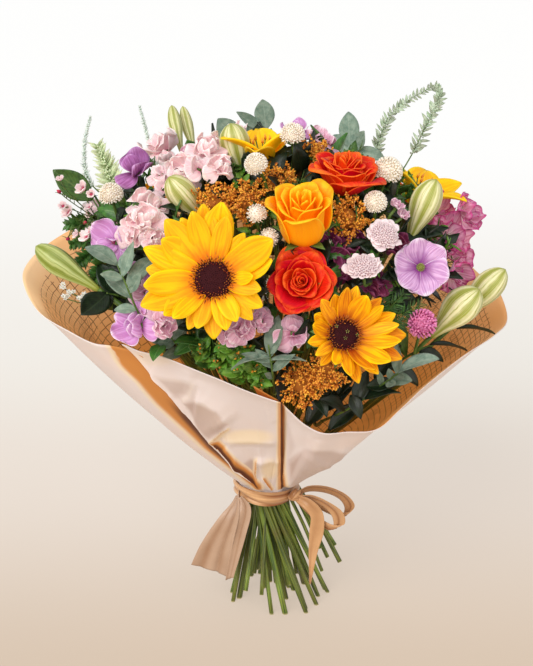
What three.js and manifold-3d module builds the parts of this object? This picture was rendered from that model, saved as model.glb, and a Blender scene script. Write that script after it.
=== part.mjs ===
// A hand-tied bouquet of mixed flowers in a paper wrapper with a ribbon, standing on its cut stems.
// Millimetres, +Z up, the floor at z = 0. The stems cross in a spiral at the ribbon, so the bunch stands
// by itself. The front of the bouquet faces -Y.
//
// Flowers are placed as an arranger sees them: in a front view from a little above. `across` and `rise`
// are measured in that view from VIEW_CENTRE, and `lift` is how far a flower stands out of the dome.

import * as THREE from 'three';
import { mergeVertices } from 'three/addons/utils/BufferGeometryUtils.js';
import Module from 'manifold-3d';

const wasm = await Module();
wasm.setup();
const { Manifold, Mesh } = wasm;

const { degToRad } = THREE.MathUtils;
const point = (x, y, z) => new THREE.Vector3(x, y, z);
const TURN = Math.PI * 2;

// Driving dimensions

const VIEW_RISE = degToRad(26);
const VIEW_DISTANCE = 2200;
const VIEW_CENTRE = point(0, 0, 297);
const DOME_CENTRE = point(5, 0, 366);
const DOME_RADII = point(190, 160, 138);

const TIE_HEIGHT = 125;
const BUNCH_RADIUS = 25;
const SPIRAL = 29;
const FOOT_SPLAY = 0.6;
const BASE_SHIFT = point(12, -20, 0);
const STRING_RADIUS = 26.5;
const STRING_HEIGHT = 6;

const PAPER = 0.8;
const PAPER_TIE_RADIUS = 29.2;
const PLEATS = 9;
const PLEAT_DEPTH = 1.1;
const BAND_RADIUS = 32;
const BAND_HEIGHT = 15;
const RIBBON = 1.0;

const BLADE = 0.7;
const CLEARANCE = 0.45;
const SMALLEST = 0.2;
const SUNFLOWER_CUP = 9.5;

// The front view

const RIGHT = point(1, 0, 0);
const UP = point(0, Math.sin(VIEW_RISE), Math.cos(VIEW_RISE));
const TOWARD = point(0, -Math.cos(VIEW_RISE), Math.sin(VIEW_RISE));

// A direction given as seen from the front: to the right, up and towards the viewer.
function facing(right, up, toward) {
  return point(0, 0, 0)
    .addScaledVector(RIGHT, right)
    .addScaledVector(UP, up)
    .addScaledVector(TOWARD, toward)
    .normalize();
}

// The point that shows at (across, rise) and stands `forward` nearer the viewer than VIEW_CENTRE.
function seen(across, rise, forward) {
  const shrink = 1 - forward / VIEW_DISTANCE;
  return VIEW_CENTRE.clone()
    .addScaledVector(RIGHT, across * shrink)
    .addScaledVector(UP, rise * shrink)
    .addScaledVector(TOWARD, forward);
}

// Where the sight line through (across, rise) meets the dome of flowers, or passes nearest to it.
function onDome(across, rise, lift = 0) {
  const radii = DOME_RADII.clone().addScalar(lift);
  const eye = VIEW_CENTRE.clone().addScaledVector(TOWARD, VIEW_DISTANCE);
  const from = eye.clone().sub(DOME_CENTRE).divide(radii);
  const along = seen(across, rise, 0).sub(eye);
  const step = along.clone().divide(radii);
  const a = step.dot(step);
  const b = from.dot(step);
  const inside = Math.max(0, b * b - a * (from.dot(from) - 1));
  return eye.addScaledVector(along, (-b - Math.sqrt(inside)) / a);
}

// A point of the dome by compass angle and height angle, for the back of the bouquet.
function roundDome(azimuth, height, lift = 0) {
  const a = degToRad(azimuth);
  const h = degToRad(height);
  return DOME_RADII.clone()
    .addScalar(lift)
    .multiply(point(Math.cos(a) * Math.cos(h), Math.sin(a) * Math.cos(h), Math.sin(h)))
    .add(DOME_CENTRE);
}

function domeNormal(at) {
  return at.clone().sub(DOME_CENTRE).divide(DOME_RADII).divide(DOME_RADII).normalize();
}

// Solids

function toSolid(geometry) {
  geometry.deleteAttribute('normal');
  geometry.deleteAttribute('uv');
  const merged = mergeVertices(geometry, 1e-4);
  const index = merged.index.array;
  const triangles = [];
  for (let i = 0; i < index.length; i += 3) {
    const [a, b, c] = [index[i], index[i + 1], index[i + 2]];
    if (a !== b && b !== c && a !== c) triangles.push(a, b, c);
  }
  const vertProperties = new Float32Array(merged.attributes.position.array);
  return new Manifold(new Mesh({ numProp: 3, vertProperties, triVerts: new Uint32Array(triangles) }));
}

const snapped = (value) => Math.round(value * 1e4) / 1e4;

function solidOf(points, triangles) {
  const corners = points.map(({ x, y, z }) => point(snapped(x), snapped(y), snapped(z)));
  const geometry = new THREE.BufferGeometry().setFromPoints(corners);
  geometry.setIndex(triangles);
  return toSolid(geometry);
}

const fuse = (solids) => Manifold.union(solids);

// A solid of even thickness about a middle surface of triangles, walled along its free edges.
function thickened(middle, cells, edges, thickness, calyx = 0) {
  const normals = middle.map(() => point(0, 0, 0));
  for (const [a, b, c] of cells) {
    const normal = middle[b].clone().sub(middle[a]).cross(middle[c].clone().sub(middle[a]));
    for (const corner of [a, b, c]) normals[corner].add(normal);
  }
  const half = thickness / 2;
  const count = middle.length;
  const points = [
    ...middle.map((p, k) => p.clone().addScaledVector(normals[k].normalize(), half)),
    ...middle.map((p, k) => p.clone().addScaledVector(normals[k], -half)),
  ];
  if (calyx > 0) points[count].copy(middle[0]).setZ(middle[0].z - calyx);
  const triangles = [];
  for (const [a, b, c] of cells) triangles.push(a, b, c, a + count, c + count, b + count);
  for (const [a, b] of edges) triangles.push(a, b, b + count, a, b + count, a + count);
  const made = solidOf(points, triangles);
  return made.volume() < 0 ? solidOf(points, triangles.reverse()) : made;
}

// A thin sheet of even thickness. pointAt(s, t) gives its middle surface, s from 0 to 1 along it and t
// from -1 to 1 across it, and a row may close to one point at the root or the tip.
function sheet(rows, columns, thickness, pointAt) {
  const middle = [];
  for (let i = 0; i <= rows; i++) {
    for (let j = 0; j <= columns; j++) middle.push(pointAt(i / rows, (2 * j) / columns - 1));
  }
  const closed = (i) => middle[i * (columns + 1)].distanceTo(middle[i * (columns + 1) + columns]) < 1e-3;
  const ends = Array.from({ length: rows + 1 }, (_, i) => closed(i));
  const at = (i, j) => i * (columns + 1) + (ends[i] ? 0 : j);
  const cells = [];
  const addCell = (a, b, c) => {
    if (a !== b && b !== c && a !== c) cells.push([a, b, c]);
  };
  const edges = [];
  for (let i = 0; i < rows; i++) {
    for (let j = 0; j < columns; j++) {
      addCell(at(i, j), at(i + 1, j), at(i + 1, j + 1));
      addCell(at(i, j), at(i + 1, j + 1), at(i, j + 1));
    }
    edges.push([at(i + 1, 0), at(i, 0)], [at(i, columns), at(i + 1, columns)]);
  }
  for (let j = 0; j < columns; j++) {
    if (!ends[0]) edges.push([at(0, j), at(0, j + 1)]);
    if (!ends[rows]) edges.push([at(rows, j + 1), at(rows, j)]);
  }
  return thickened(middle, cells, edges, thickness);
}

// A thin sheet that closes round +Z like a corolla: pointAt(s, j) with s from 0 at its heart, one point
// on the axis, to 1 at its rim, and j counting round it. Its heart is solid down to `calyx` below.
function corollaSheet(rows, columns, calyx, pointAt) {
  const middle = [pointAt(0, 0)];
  for (let i = 1; i <= rows; i++) {
    for (let j = 0; j < columns; j++) middle.push(pointAt(i / rows, j));
  }
  const at = (i, j) => (i === 0 ? 0 : 1 + (i - 1) * columns + (j % columns));
  const cells = [];
  for (let i = 0; i < rows; i++) {
    for (let j = 0; j < columns; j++) {
      cells.push([at(i, j), at(i + 1, j), at(i + 1, j + 1)]);
      if (i > 0) cells.push([at(i, j), at(i + 1, j + 1), at(i, j + 1)]);
    }
  }
  const rim = Array.from({ length: columns }, (_, j) => [at(rows, j + 1), at(rows, j)]);
  return thickened(middle, cells, rim, BLADE, calyx);
}

// A closed solid through rings of points, where a ring of one point is a tip.
function loft(rings) {
  const points = rings.flat();
  const starts = [];
  rings.reduce((start, ring) => (starts.push(start), start + ring.length), 0);
  const triangles = [];
  for (let k = 0; k + 1 < rings.length; k++) {
    const [low, high] = [rings[k].length, rings[k + 1].length];
    const sides = Math.max(low, high);
    for (let i = 0; i < sides; i++) {
      const [a, b] = [starts[k] + (i % low), starts[k] + ((i + 1) % low)];
      const [c, d] = [starts[k + 1] + (i % high), starts[k + 1] + ((i + 1) % high)];
      if (low > 1) triangles.push(a, b, d);
      if (high > 1) triangles.push(a, d, c);
    }
  }
  const cap = (start, sides, turn) => {
    for (let i = 1; i + 1 < sides; i++) {
      const [b, c] = turn ? [i + 1, i] : [i, i + 1];
      triangles.push(start, start + b, start + c);
    }
  };
  const last = rings.length - 1;
  cap(starts[0], rings[0].length, true);
  cap(starts[last], rings[last].length, false);
  const made = solidOf(points, triangles);
  return made.volume() < 0 ? solidOf(points, triangles.reverse()) : made;
}

// A round solid about +Z from [radius, height] pairs; relief(angle, k) scales the radius.
function turned(profile, sides, relief = () => 1) {
  return loft(
    profile.map(([radius, height], k) => {
      if (radius === 0) return [point(0, 0, height)];
      return Array.from({ length: sides }, (_, i) => {
        const angle = (TURN * i) / sides;
        const r = radius * relief(angle, k, i);
        return point(r * Math.cos(angle), r * Math.sin(angle), height);
      });
    }),
  );
}

// A tube through points. flatStart lays the first ring level, as a stem cut flat to stand on.
function tube(points, radius, sides = 5, flatStart = false) {
  const rings = [];
  let side = point(1, 0, 0);
  points.forEach((p, k) => {
    const before = points[Math.max(0, k - 1)];
    const after = points[Math.min(points.length - 1, k + 1)];
    const along = flatStart && k === 0 ? point(0, 0, 1) : after.clone().sub(before).normalize();
    side = side.clone().addScaledVector(along, -side.dot(along)).normalize();
    const other = along.clone().cross(side);
    const r = Array.isArray(radius) ? radius[k] : radius;
    rings.push(
      Array.from({ length: sides }, (_, i) => {
        const angle = (TURN * i) / sides;
        return p
          .clone()
          .addScaledVector(side, r * Math.cos(angle))
          .addScaledVector(other, r * Math.sin(angle));
      }),
    );
  });
  return loft(rings);
}

// Puts a solid made about +Z at a place, its +Z along `direction` and its +X as near `across` as it can.
function placed(solid, at, direction, roll = 0) {
  const z = direction.clone().normalize();
  const reference = Math.abs(z.x) < 0.9 ? RIGHT : UP;
  const x = reference.clone().addScaledVector(z, -reference.dot(z)).normalize();
  const y = z.clone().cross(x);
  const matrix = new THREE.Matrix4().makeBasis(x, y, z);
  matrix.multiply(new THREE.Matrix4().makeRotationZ(roll)).setPosition(at);
  return solid.transform(matrix.elements);
}

// A repeatable draw between low and high.
function drawer(seed) {
  let state = seed;
  return (low, high) => {
    state = (state * 16807) % 2147483647;
    return low + ((high - low) * state) / 2147483647;
  };
}

// Petals and leaves

// A blade grows along +Z from its root; its face looks along +Y, and curl bends it towards +Y.
function blade({ length, width, root = 0.25, shift = 1, blunt = 1, curl = 0, rows = 3, columns = 2 }) {
  return sheet(rows, columns, BLADE, (s, t) => {
    const swell = Math.pow(Math.sin(Math.PI * Math.pow(s, shift)), blunt);
    const half = (width / 2) * Math.max(swell, root * (1 - s));
    const bend = curl * s;
    const reach = length * s * (Math.abs(bend) < 1e-3 ? 1 : Math.sin(bend) / bend);
    const rise = Math.abs(bend) < 1e-3 ? 0 : (length * s * (1 - Math.cos(bend))) / bend;
    return point(half * t, rise, reach);
  });
}

// Kinds of flower, each made about +Z with its seat at the origin

// A ring of rays that run together at its heart. Each ray has two places along its length where it is
// `wide`, and `droop` bends its outer part down.
function rayRing({ count, inner, outer, lean, phase, height, calyx }) {
  const wide = [0.34, 0.5, 0.4];
  const along = [0, 0.34, 0.74];
  const middle = [point(0, 0, height)];
  const cells = [];
  const edges = [];
  const start = (k) => 1 + (k % count) * 7;
  for (let k = 0; k < count; k++) {
    const angle = (TURN * (k + phase)) / count;
    const reach = (outer - inner) * (1 + 0.07 * Math.sin(k * 2.4));
    along.forEach((s, i) => {
      const r = inner + reach * s * Math.sin(lean);
      const half = ((TURN * (inner + reach * 0.34)) / count) * wide[i] * 0.92;
      const z = height + 1 + reach * (s * Math.cos(lean) + 0.05 * Math.sin(Math.PI * s));
      for (const side of [-1, 1]) {
        const x = r * Math.cos(angle) - side * half * Math.sin(angle);
        const y = r * Math.sin(angle) + side * half * Math.cos(angle);
        middle.push(point(x, y, z));
      }
    });
    const tip = inner + reach * Math.sin(lean);
    middle.push(point(tip * Math.cos(angle), tip * Math.sin(angle), height + reach * Math.cos(lean)));
    const [a, next] = [start(k), start(k + 1)];
    cells.push([0, a, a + 1], [0, a + 1, next]);
    for (const i of [0, 2]) cells.push([a + i, a + i + 2, a + i + 3], [a + i, a + i + 3, a + i + 1]);
    cells.push([a + 4, a + 6, a + 5]);
    edges.push([a + 2, a], [a + 4, a + 2], [a + 6, a + 4], [a + 5, a + 6], [a + 3, a + 5], [a + 1, a + 3]);
    edges.push([next, a + 1]);
  }
  return thickened(middle, cells, edges, BLADE, calyx);
}

function sunflower({ radius, disc, petals, lean }) {
  const ring = { count: petals, inner: disc - 4, outer: radius };
  const upper = rayRing({ ...ring, lean: lean[0], phase: 0, height: 5.5, calyx: 0, outer: radius * 0.94 });
  const lower = rayRing({ ...ring, lean: lean[1], phase: 0.5, height: 2.5, calyx: 2 });
  const cup = turned([[4, 0], [disc * 0.6, 1.5], [disc * 0.6, SUNFLOWER_CUP]], 7);
  return fuse([cup, upper, lower]);
}

function sunflowerDisc(disc) {
  const rim = disc - 1.5;
  const bumps = (angle, k, i) => 1 + 0.07 * (((i + k) % 2) * 2 - 1);
  const profile = [[rim, 0], [rim, 3], [rim * 0.72, 6.5], [rim * 0.4, 6.2], [0, 4.8]];
  return turned(profile, 12, bumps);
}

// A whorl of cupped petals that run together at the heart: `spread` is its reach at the rim.
function cuppedWhorl({ petals, spread, height, base, flare }) {
  return corollaSheet(2, petals * 2, base, (s, j) => {
    const angle = (TURN * (j + (j % 2 ? 0.5 : 0))) / (petals * 2);
    const notch = j % 2 ? 0 : 0.12 * s;
    const belly = Math.sin((Math.PI / 2) * Math.min(1, s * 1.35));
    const r = spread * (belly * (1 - flare) + flare * s * s) * (1 - notch * 0.4);
    const rise = (height - base) * s * (0.35 + 0.65 * s) * (1 - notch);
    return point(r * Math.cos(angle), r * Math.sin(angle), base + rise);
  });
}

function rose({ radius, height, openness, whorls = 3 }) {
  const heart = turned([[2, 0], [2, 6], [radius * 0.24, height * 0.82], [0, height * 0.92]], 5);
  const layers = Array.from({ length: whorls }, (_, k) => {
    const out = 1 - k / (whorls + 0.6);
    const top = height * (1 - 0.34 * openness * out);
    return cuppedWhorl({
      petals: 5 - (k > 1 ? 1 : 0),
      spread: radius * out,
      height: top,
      base: 1 + 2.2 * k,
      flare: 0.3 + 0.3 * openness * out,
    }).rotate([0, 0, k * 25]);
  });
  return fuse([heart, ...layers]);
}

// A bloom of broad, waved petals that run together at the heart, as of sweet peas, stocks and mallows.
// Each petal has two corners at the rim and a notch beside it.
function ruffled({ radius, petals = 4, depth = 14, wave = 3, notch = 0.34 }) {
  return corollaSheet(2, petals * 3, 4, (s, j) => {
    const angle = (TURN * (j + 0.3 * Math.sin(j * 2.2))) / (petals * 3);
    const inNotch = j % 3 === 0;
    const reach = radius * s * (inNotch ? 1 - notch * s : 1 + 0.08 * Math.sin(j * 1.7));
    const ruffle = wave * s * s * (inNotch ? 1 : Math.sin(j * 2.6));
    return point(reach * Math.cos(angle), reach * Math.sin(angle), 4 + depth * Math.pow(s, 0.75) + ruffle);
  });
}

function pompon({ radius }) {
  const bumps = (angle, k, i) => 1 + 0.08 * (((i + k) % 2) * 2 - 1);
  const profile = [[1.8, 0], [radius * 0.9, radius * 0.45], [radius, radius * 0.95]];
  profile.push([radius * 0.66, radius * 1.45], [0, radius * 1.62]);
  return turned(profile, 8, bumps);
}

// A lily bud: six ribs that run to a blunt three-cornered tip.
function lilyBud({ length, radius }) {
  const ribs = (angle, k, i) => 1 + (k > 0 ? 0.08 : 0) * (i % 2 ? -1 : 1);
  const profile = [[2.4, 0], [radius * 0.8, length * 0.2], [radius * 1.02, length * 0.45]];
  profile.push([radius * 0.84, length * 0.74], [radius * 0.38, length * 0.95], [0, length]);
  return turned(profile, 6, ribs);
}

// A trumpet of six pointed tepals, as of a yellow lily.
function trumpet({ radius, depth }) {
  return corollaSheet(3, 12, 4, (s, j) => {
    const angle = (TURN * j) / 12;
    const reach = radius * (0.5 * s + 0.5 * s * s) * (j % 2 ? 1 - 0.6 * Math.max(0, s - 0.34) : 1);
    const rise = depth * Math.sin((Math.PI / 2) * s * 1.15) * (j % 2 ? 1 - 0.12 * s : 1);
    return point(reach * Math.cos(angle), reach * Math.sin(angle), 4 + rise);
  });
}

// A fluffy head of tiny buds that stand out unevenly all round.
function fluff({ width, height, seed }) {
  const draw = drawer(seed);
  const bud = (angle, k, i) => ((i + k) % 2 ? draw(0.55, 0.7) : draw(0.95, 1.2));
  const profile = [[0.09, 0], [0.38, 0.18], [0.48, 0.4], [0.47, 0.62], [0.34, 0.84], [0, 0.92]];
  const scaled = profile.map(([r, z]) => [r * width, z * height]);
  return turned(scaled, 8, (angle, k, i) => (k === 0 ? 1 : bud(angle, k, i)));
}

// Leafy stems: a slim stem through points with leaves along it

function leafAt(at, direction, face, form) {
  const z = direction.clone().normalize();
  const y = face.clone().addScaledVector(z, -face.dot(z)).normalize();
  const matrix = new THREE.Matrix4().makeBasis(y.clone().cross(z), y, z).setPosition(at);
  return blade(form).transform(matrix.elements);
}

const LEAF = { root: 0.3, shift: 0.85, blunt: 0.9, curl: -0.3, rows: 3, columns: 1 };

// Materials

const material = (color, roughness) => new THREE.MeshStandardMaterial({ color, roughness, metalness: 0 });
const FINISH = {
  paper: material(0xe9d5c8, 0.7),
  ribbon: material(0xc98f5c, 0.45),
  stem: material(0x5d8432, 0.6),
  sunflower: material(0xffc400, 0.6),
  disc: material(0x3a1712, 0.9),
  amber: material(0xff9a0a, 0.55),
  scarlet: material(0xe23a12, 0.55),
  red: material(0xc42410, 0.55),
  mauve: material(0xc08acb, 0.6),
  pink: material(0xd9a3b4, 0.6),
  plum: material(0x7e3358, 0.65),
  cream: material(0xe6dac2, 0.85),
  lilac: material(0xcbb6bd, 0.85),
  globe: material(0xc8649a, 0.8),
  bud: material(0xc9c96a, 0.55),
  rust: material(0xc47a18, 0.9),
  yellow: material(0xf2a90a, 0.55),
  eucalyptus: material(0x7c9484, 0.7),
  leaf: material(0x46683a, 0.6),
  darkLeaf: material(0x27371f, 0.6),
  silver: material(0xb4c2b4, 0.8),
  plume: material(0x8fa574, 0.8),
};

// Heads and sprays: each gives its solid and the seat where its stem ends

const nodes = [];
const seats = [];

// The main body of a fused solid: loose scraps and sealed pockets of its crossings are dropped.
function mainBody(solid) {
  return solid.decompose().sort((a, b) => b.volume() - a.volume())[0];
}

function keep(name, solid, finish) {
  nodes.push({ name, solid: mainBody(mainBody(solid).simplify(SMALLEST)), finish });
}

function seatStem(at, direction, radius, isShoot = false) {
  seats.push({ at: at.clone().addScaledVector(direction, -CLEARANCE), direction, radius, isShoot });
}

// One head on one stem. `sink` is how far its seat lies behind the point that shows.
function head({ name, made, at, face, sink, roll = 0, finish, stem = 2.6 }) {
  const seat = at.clone().addScaledVector(face, -sink);
  keep(name, placed(made, seat, face, roll), finish);
  seatStem(seat, face, stem);
  return seat;
}

// Several heads on one branching stem: stalks run from a shared seat inside the dome to each head.
function spray({ name, heads, finish, fork = 52, stalk = 1.5, stem = 2.4 }) {
  const middle = heads.reduce((sum, h) => sum.add(h.at), point(0, 0, 0)).divideScalar(heads.length);
  const inward = heads.reduce((sum, h) => sum.add(h.face), point(0, 0, 0)).normalize();
  const seat = middle.clone().addScaledVector(inward, -fork);
  const parts = heads.flatMap((h) => {
    const foot = h.at.clone().addScaledVector(h.face, -h.sink);
    const knee = foot.clone().addScaledVector(h.face, -fork * 0.3);
    const line = [seat.clone().addScaledVector(inward, 3), knee, foot.clone().addScaledVector(h.face, 2.5)];
    return [placed(h.made, foot, h.face, h.roll ?? 0), tube(line, stalk, 3)];
  });
  parts.push(placed(turned([[stalk * 1.3, 0], [stalk * 1.3, 5]], 4), seat, inward));
  keep(name, fuse(parts), finish);
  seatStem(seat, inward, stem);
}

// The point a share of the way along a line of points.
function alongLine(points, share) {
  const place = Math.min(share, 0.999) * (points.length - 1);
  const k = Math.floor(place);
  return points[k].clone().lerp(points[k + 1], place - k);
}

// A leafy stem from a list of points in the front view, with leaves given along it.
function leafyStem({ name, line, leaves, finish, stalk = 1.4, form = {} }) {
  const path = line.map((p) => seen(...p));
  const points = new THREE.CatmullRomCurve3(path).getPoints(path.length);
  const radii = points.map((_, k) => stalk * (1 - (0.4 * k) / path.length));
  const parts = [tube(points, radii, 4)];
  for (const { along, out, face, length, width } of leaves) {
    const at = alongLine(points, along);
    parts.push(leafAt(at, facing(...out), facing(...face), { ...LEAF, length, width, ...form }));
  }
  keep(name, fuse(parts), finish);
  seatStem(path[0], points[1].clone().sub(path[0]).normalize(), 2.2, finish !== 'eucalyptus');
}

// Big heads

const BIG_HEADS = [
  {
    name: 'sunflower_left', at: onDome(-54, 54, 22), face: facing(-0.08, 0.1, 1),
    form: { radius: 59, disc: 19, petals: 10, lean: [1.18, 1.38] },
  },
  {
    name: 'sunflower_right', at: onDome(80, -4, 30), face: facing(-0.26, 0.27, 0.93),
    form: { radius: 50, disc: 16.5, petals: 9, lean: [0.98, 1.16] },
  },
];
for (const { name, at, face, form } of BIG_HEADS) {
  const made = sunflower(form);
  const seat = head({
    name: `${name}_petals`, made, at, face, sink: SUNFLOWER_CUP, finish: 'sunflower', stem: 3.2,
  });
  const disc = sunflowerDisc(form.disc);
  keep(`${name}_disc`, placed(disc, seat.addScaledVector(face, SUNFLOWER_CUP + CLEARANCE), face), 'disc');
}

head({
  name: 'rose_amber', made: rose({ radius: 33, height: 54, openness: 0.3 }),
  at: onDome(37, 121, 22), face: facing(-0.05, 0.72, 0.7), sink: 34, finish: 'amber', stem: 3,
});
head({
  name: 'rose_scarlet', made: rose({ radius: 34, height: 38, openness: 0.9 }),
  at: onDome(35, 53, 5), face: facing(0, 0.12, 1), sink: 30, finish: 'scarlet', stem: 3,
});
head({
  name: 'rose_red', made: rose({ radius: 33, height: 42, openness: 0.8 }),
  at: onDome(79, 165, 10), face: facing(0.12, 0.88, 0.45), sink: 26, finish: 'red', stem: 3,
});
head({
  name: 'rose_back_left', made: rose({ radius: 31, height: 40, openness: 0.7, whorls: 2 }),
  at: roundDome(124, 16, 4), face: domeNormal(roundDome(124, 24)), sink: 28, finish: 'amber', stem: 3,
});
head({
  name: 'rose_back_right', made: rose({ radius: 31, height: 40, openness: 0.7, whorls: 2 }),
  at: roundDome(42, 12, 4), face: domeNormal(roundDome(42, 20)), sink: 28, finish: 'scarlet', stem: 3,
});
head({
  name: 'mallow', made: ruffled({ radius: 28, petals: 5, depth: 8, wave: 1.5, notch: 0.16 }),
  at: onDome(155, 66, 12), face: facing(0.15, 0.02, 1), sink: 10, finish: 'mauve',
});

// Round heads

const pomponAt = (across, rise, lift, radius, face) => ({
  made: pompon({ radius }), at: onDome(across, rise, lift), face: facing(...face), sink: radius,
});
spray({
  name: 'scabious', finish: 'lilac',
  heads: [pomponAt(119, 103, 22, 16, [0.15, 0.5, 0.85]), pomponAt(96, 72, 16, 17, [0, 0.45, 0.9])],
});
spray({
  name: 'buttons_right', finish: 'cream',
  heads: [pomponAt(122, 164, 14, 14, [0.2, 0.7, 0.6]), pomponAt(109, 132, 12, 11, [0, 0.6, 0.75])],
});
spray({
  name: 'buttons_middle', finish: 'cream', fork: 70,
  heads: [
    pomponAt(26, 200, 18, 12, [0, 0.85, 0.5]),
    pomponAt(-11, 170, 20, 11, [-0.3, 0.6, 0.7]),
    pomponAt(-10, 120, 6, 9.5, [-0.1, 0.5, 0.8]),
    pomponAt(3, 96, -12, 9.5, [0.1, 0.3, 0.9]),
  ],
});
spray({ name: 'button_left', finish: 'cream', heads: [pomponAt(-156, 140, 10, 12, [-0.2, 0.8, 0.5])] });
spray({ name: 'globe_pink', finish: 'globe', heads: [pomponAt(157, 11, 10, 13, [0.1, 0.45, 0.9])] });

// Lily buds, each given by the place of its tip and of its root

function budBetween(tip, root, radius) {
  const face = tip.clone().sub(root).normalize();
  return { made: lilyBud({ length: tip.distanceTo(root), radius }), at: root, face, sink: 0 };
}
const seenBud = (tip, root, radius) => budBetween(seen(...tip), seen(...root), radius);

spray({
  name: 'lily_bud_left', finish: 'bud', fork: 46, stalk: 3,
  heads: [seenBud([-231, 86, 60], [-168, 42, 76], 14)],
});
spray({
  name: 'lily_buds_top', finish: 'bud', fork: 60,
  heads: [seenBud([-95, 224, -40], [-80, 168, -20], 9), seenBud([-82, 222, -56], [-62, 170, -40], 8)],
});
spray({
  name: 'lily_buds_middle', finish: 'bud', fork: 60,
  heads: [seenBud([-97, 155, 136], [-62, 110, 96], 13), seenBud([-38, 207, 56], [-26, 152, 36], 13)],
});
spray({
  name: 'lily_bud_right', finish: 'bud', fork: 52,
  heads: [seenBud([168, 154, 96], [142, 90, 84], 13)],
});
spray({
  name: 'lily_buds_corner', finish: 'bud', stalk: 2.2,
  heads: [seenBud([213, 38, 116], [166, -2, 96], 17), seenBud([238, 62, 76], [196, 10, 62], 12)],
});

// Ruffled blooms in sprays

const bloomAt = (across, rise, lift, radius, face, more = {}) => ({
  made: ruffled({ radius, ...more }), at: onDome(across, rise, lift), face: facing(...face), sink: 12,
  roll: across * 0.1,
});
spray({
  name: 'stock_pale', finish: 'pink',
  heads: [
    bloomAt(-90, 176, 0, 25, [-0.7, 0.2, 0.7]),
    bloomAt(-52, 192, 12, 26, [0.1, 0.8, 0.5]),
    bloomAt(-46, 166, 18, 22, [0.3, 0.3, 0.9]),
  ],
});
spray({
  name: 'sweet_peas_left', finish: 'pink',
  heads: [bloomAt(-120, 126, 14, 27, [-0.2, 0.5, 0.85]), bloomAt(-146, 92, 12, 27, [-0.6, -0.3, 0.8])],
});
spray({
  name: 'sweet_peas_mauve', finish: 'mauve',
  heads: [
    bloomAt(-142, 8, 10, 28, [-0.5, 0, 0.85]),
    bloomAt(-108, 4, 18, 25, [0.3, -0.4, 0.85]),
    bloomAt(-112, 46, -22, 22, [-0.2, 0.4, 0.9]),
  ],
});
spray({
  name: 'stock_centre', finish: 'pink',
  heads: [bloomAt(-24, -2, -6, 22, [-0.2, -0.1, 1]), bloomAt(18, -14, 2, 20, [0.1, -0.2, 0.95])],
});
spray({
  name: 'lisianthus_left', finish: 'mauve',
  heads: [bloomAt(-131, 165, 8, 26, [-0.5, 0.6, 0.5], { depth: 20 })],
});
spray({
  name: 'lisianthus_top', finish: 'mauve',
  heads: [bloomAt(54, 202, -4, 24, [0.3, 0.9, 0.3], { depth: 18 })],
});
spray({
  name: 'gladiolus_right', finish: 'mauve',
  heads: [
    bloomAt(186, 118, 10, 28, [0.5, 0.3, 0.8], { depth: 18 }),
    bloomAt(190, 72, 8, 26, [0.6, -0.4, 0.8], { depth: 18 }),
  ],
});
spray({
  name: 'lisianthus_plum', finish: 'plum',
  heads: [bloomAt(72, 66, -24, 24, [0.1, -0.1, 1])],
});
spray({
  name: 'stock_back', finish: 'pink',
  heads: [[154, 10], [140, 44]].map(([azimuth, height]) => ({
    made: ruffled({ radius: 27 }), at: roundDome(azimuth, height, 8), sink: 12,
    face: domeNormal(roundDome(azimuth, height)),
  })),
});

// Yellow lilies

head({
  name: 'lily_yellow_top', made: trumpet({ radius: 32, depth: 36 }),
  at: onDome(-6, 186, -6), face: facing(-0.1, 0.9, 0.25), sink: 26, finish: 'yellow',
});
head({
  name: 'lily_yellow_right', made: trumpet({ radius: 34, depth: 38 }),
  at: onDome(158, 148, -6), face: facing(0.4, 0.75, 0.3), sink: 28, finish: 'yellow',
});

// Rust-coloured fluffy heads

const fluffAt = (across, rise, lift, width, height, face, seed) => ({
  made: fluff({ width, height, seed }), at: onDome(across, rise, lift), face: facing(...face),
  sink: height * 0.7,
});
spray({
  name: 'rust_left', finish: 'rust',
  heads: [
    fluffAt(-54, 134, 0, 44, 38, [-0.2, 0.4, 0.9], 11),
    fluffAt(-18, 136, -2, 40, 38, [0.1, 0.3, 0.9], 12),
  ],
});
spray({
  name: 'rust_top', finish: 'rust',
  heads: [
    fluffAt(12, 157, -10, 35, 40, [0.05, 0.5, 0.8], 21),
    fluffAt(48, 184, -8, 38, 40, [0.1, 0.8, 0.6], 22),
  ],
});
spray({
  name: 'rust_right', finish: 'rust',
  heads: [fluffAt(80, 120, 2, 42, 50, [0, 0.3, 0.9], 31)],
});
spray({
  name: 'rust_low', finish: 'rust',
  heads: [
    fluffAt(62, -38, 4, 38, 38, [0.2, 0, 1], 41),
    fluffAt(34, -54, 4, 44, 40, [-0.2, -0.3, 0.95], 42),
  ],
});

// Small pink blossoms on a twiggy stem

function blossomTwig() {
  const at = [[-200, 122], [-186, 146], [-182, 98]];
  return at.map(([across, rise], k) => ({
    made: ruffled({ radius: 11, petals: 3, depth: 5, wave: 1.2 }),
    at: onDome(across, rise, 6 + 3 * (k % 2)),
    face: facing(-0.6, 0.4, 0.6),
    sink: 6,
    roll: k,
  }));
}
spray({ name: 'waxflower_left', finish: 'pink', heads: blossomTwig(), stalk: 1.1 });

// Eucalyptus

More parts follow.
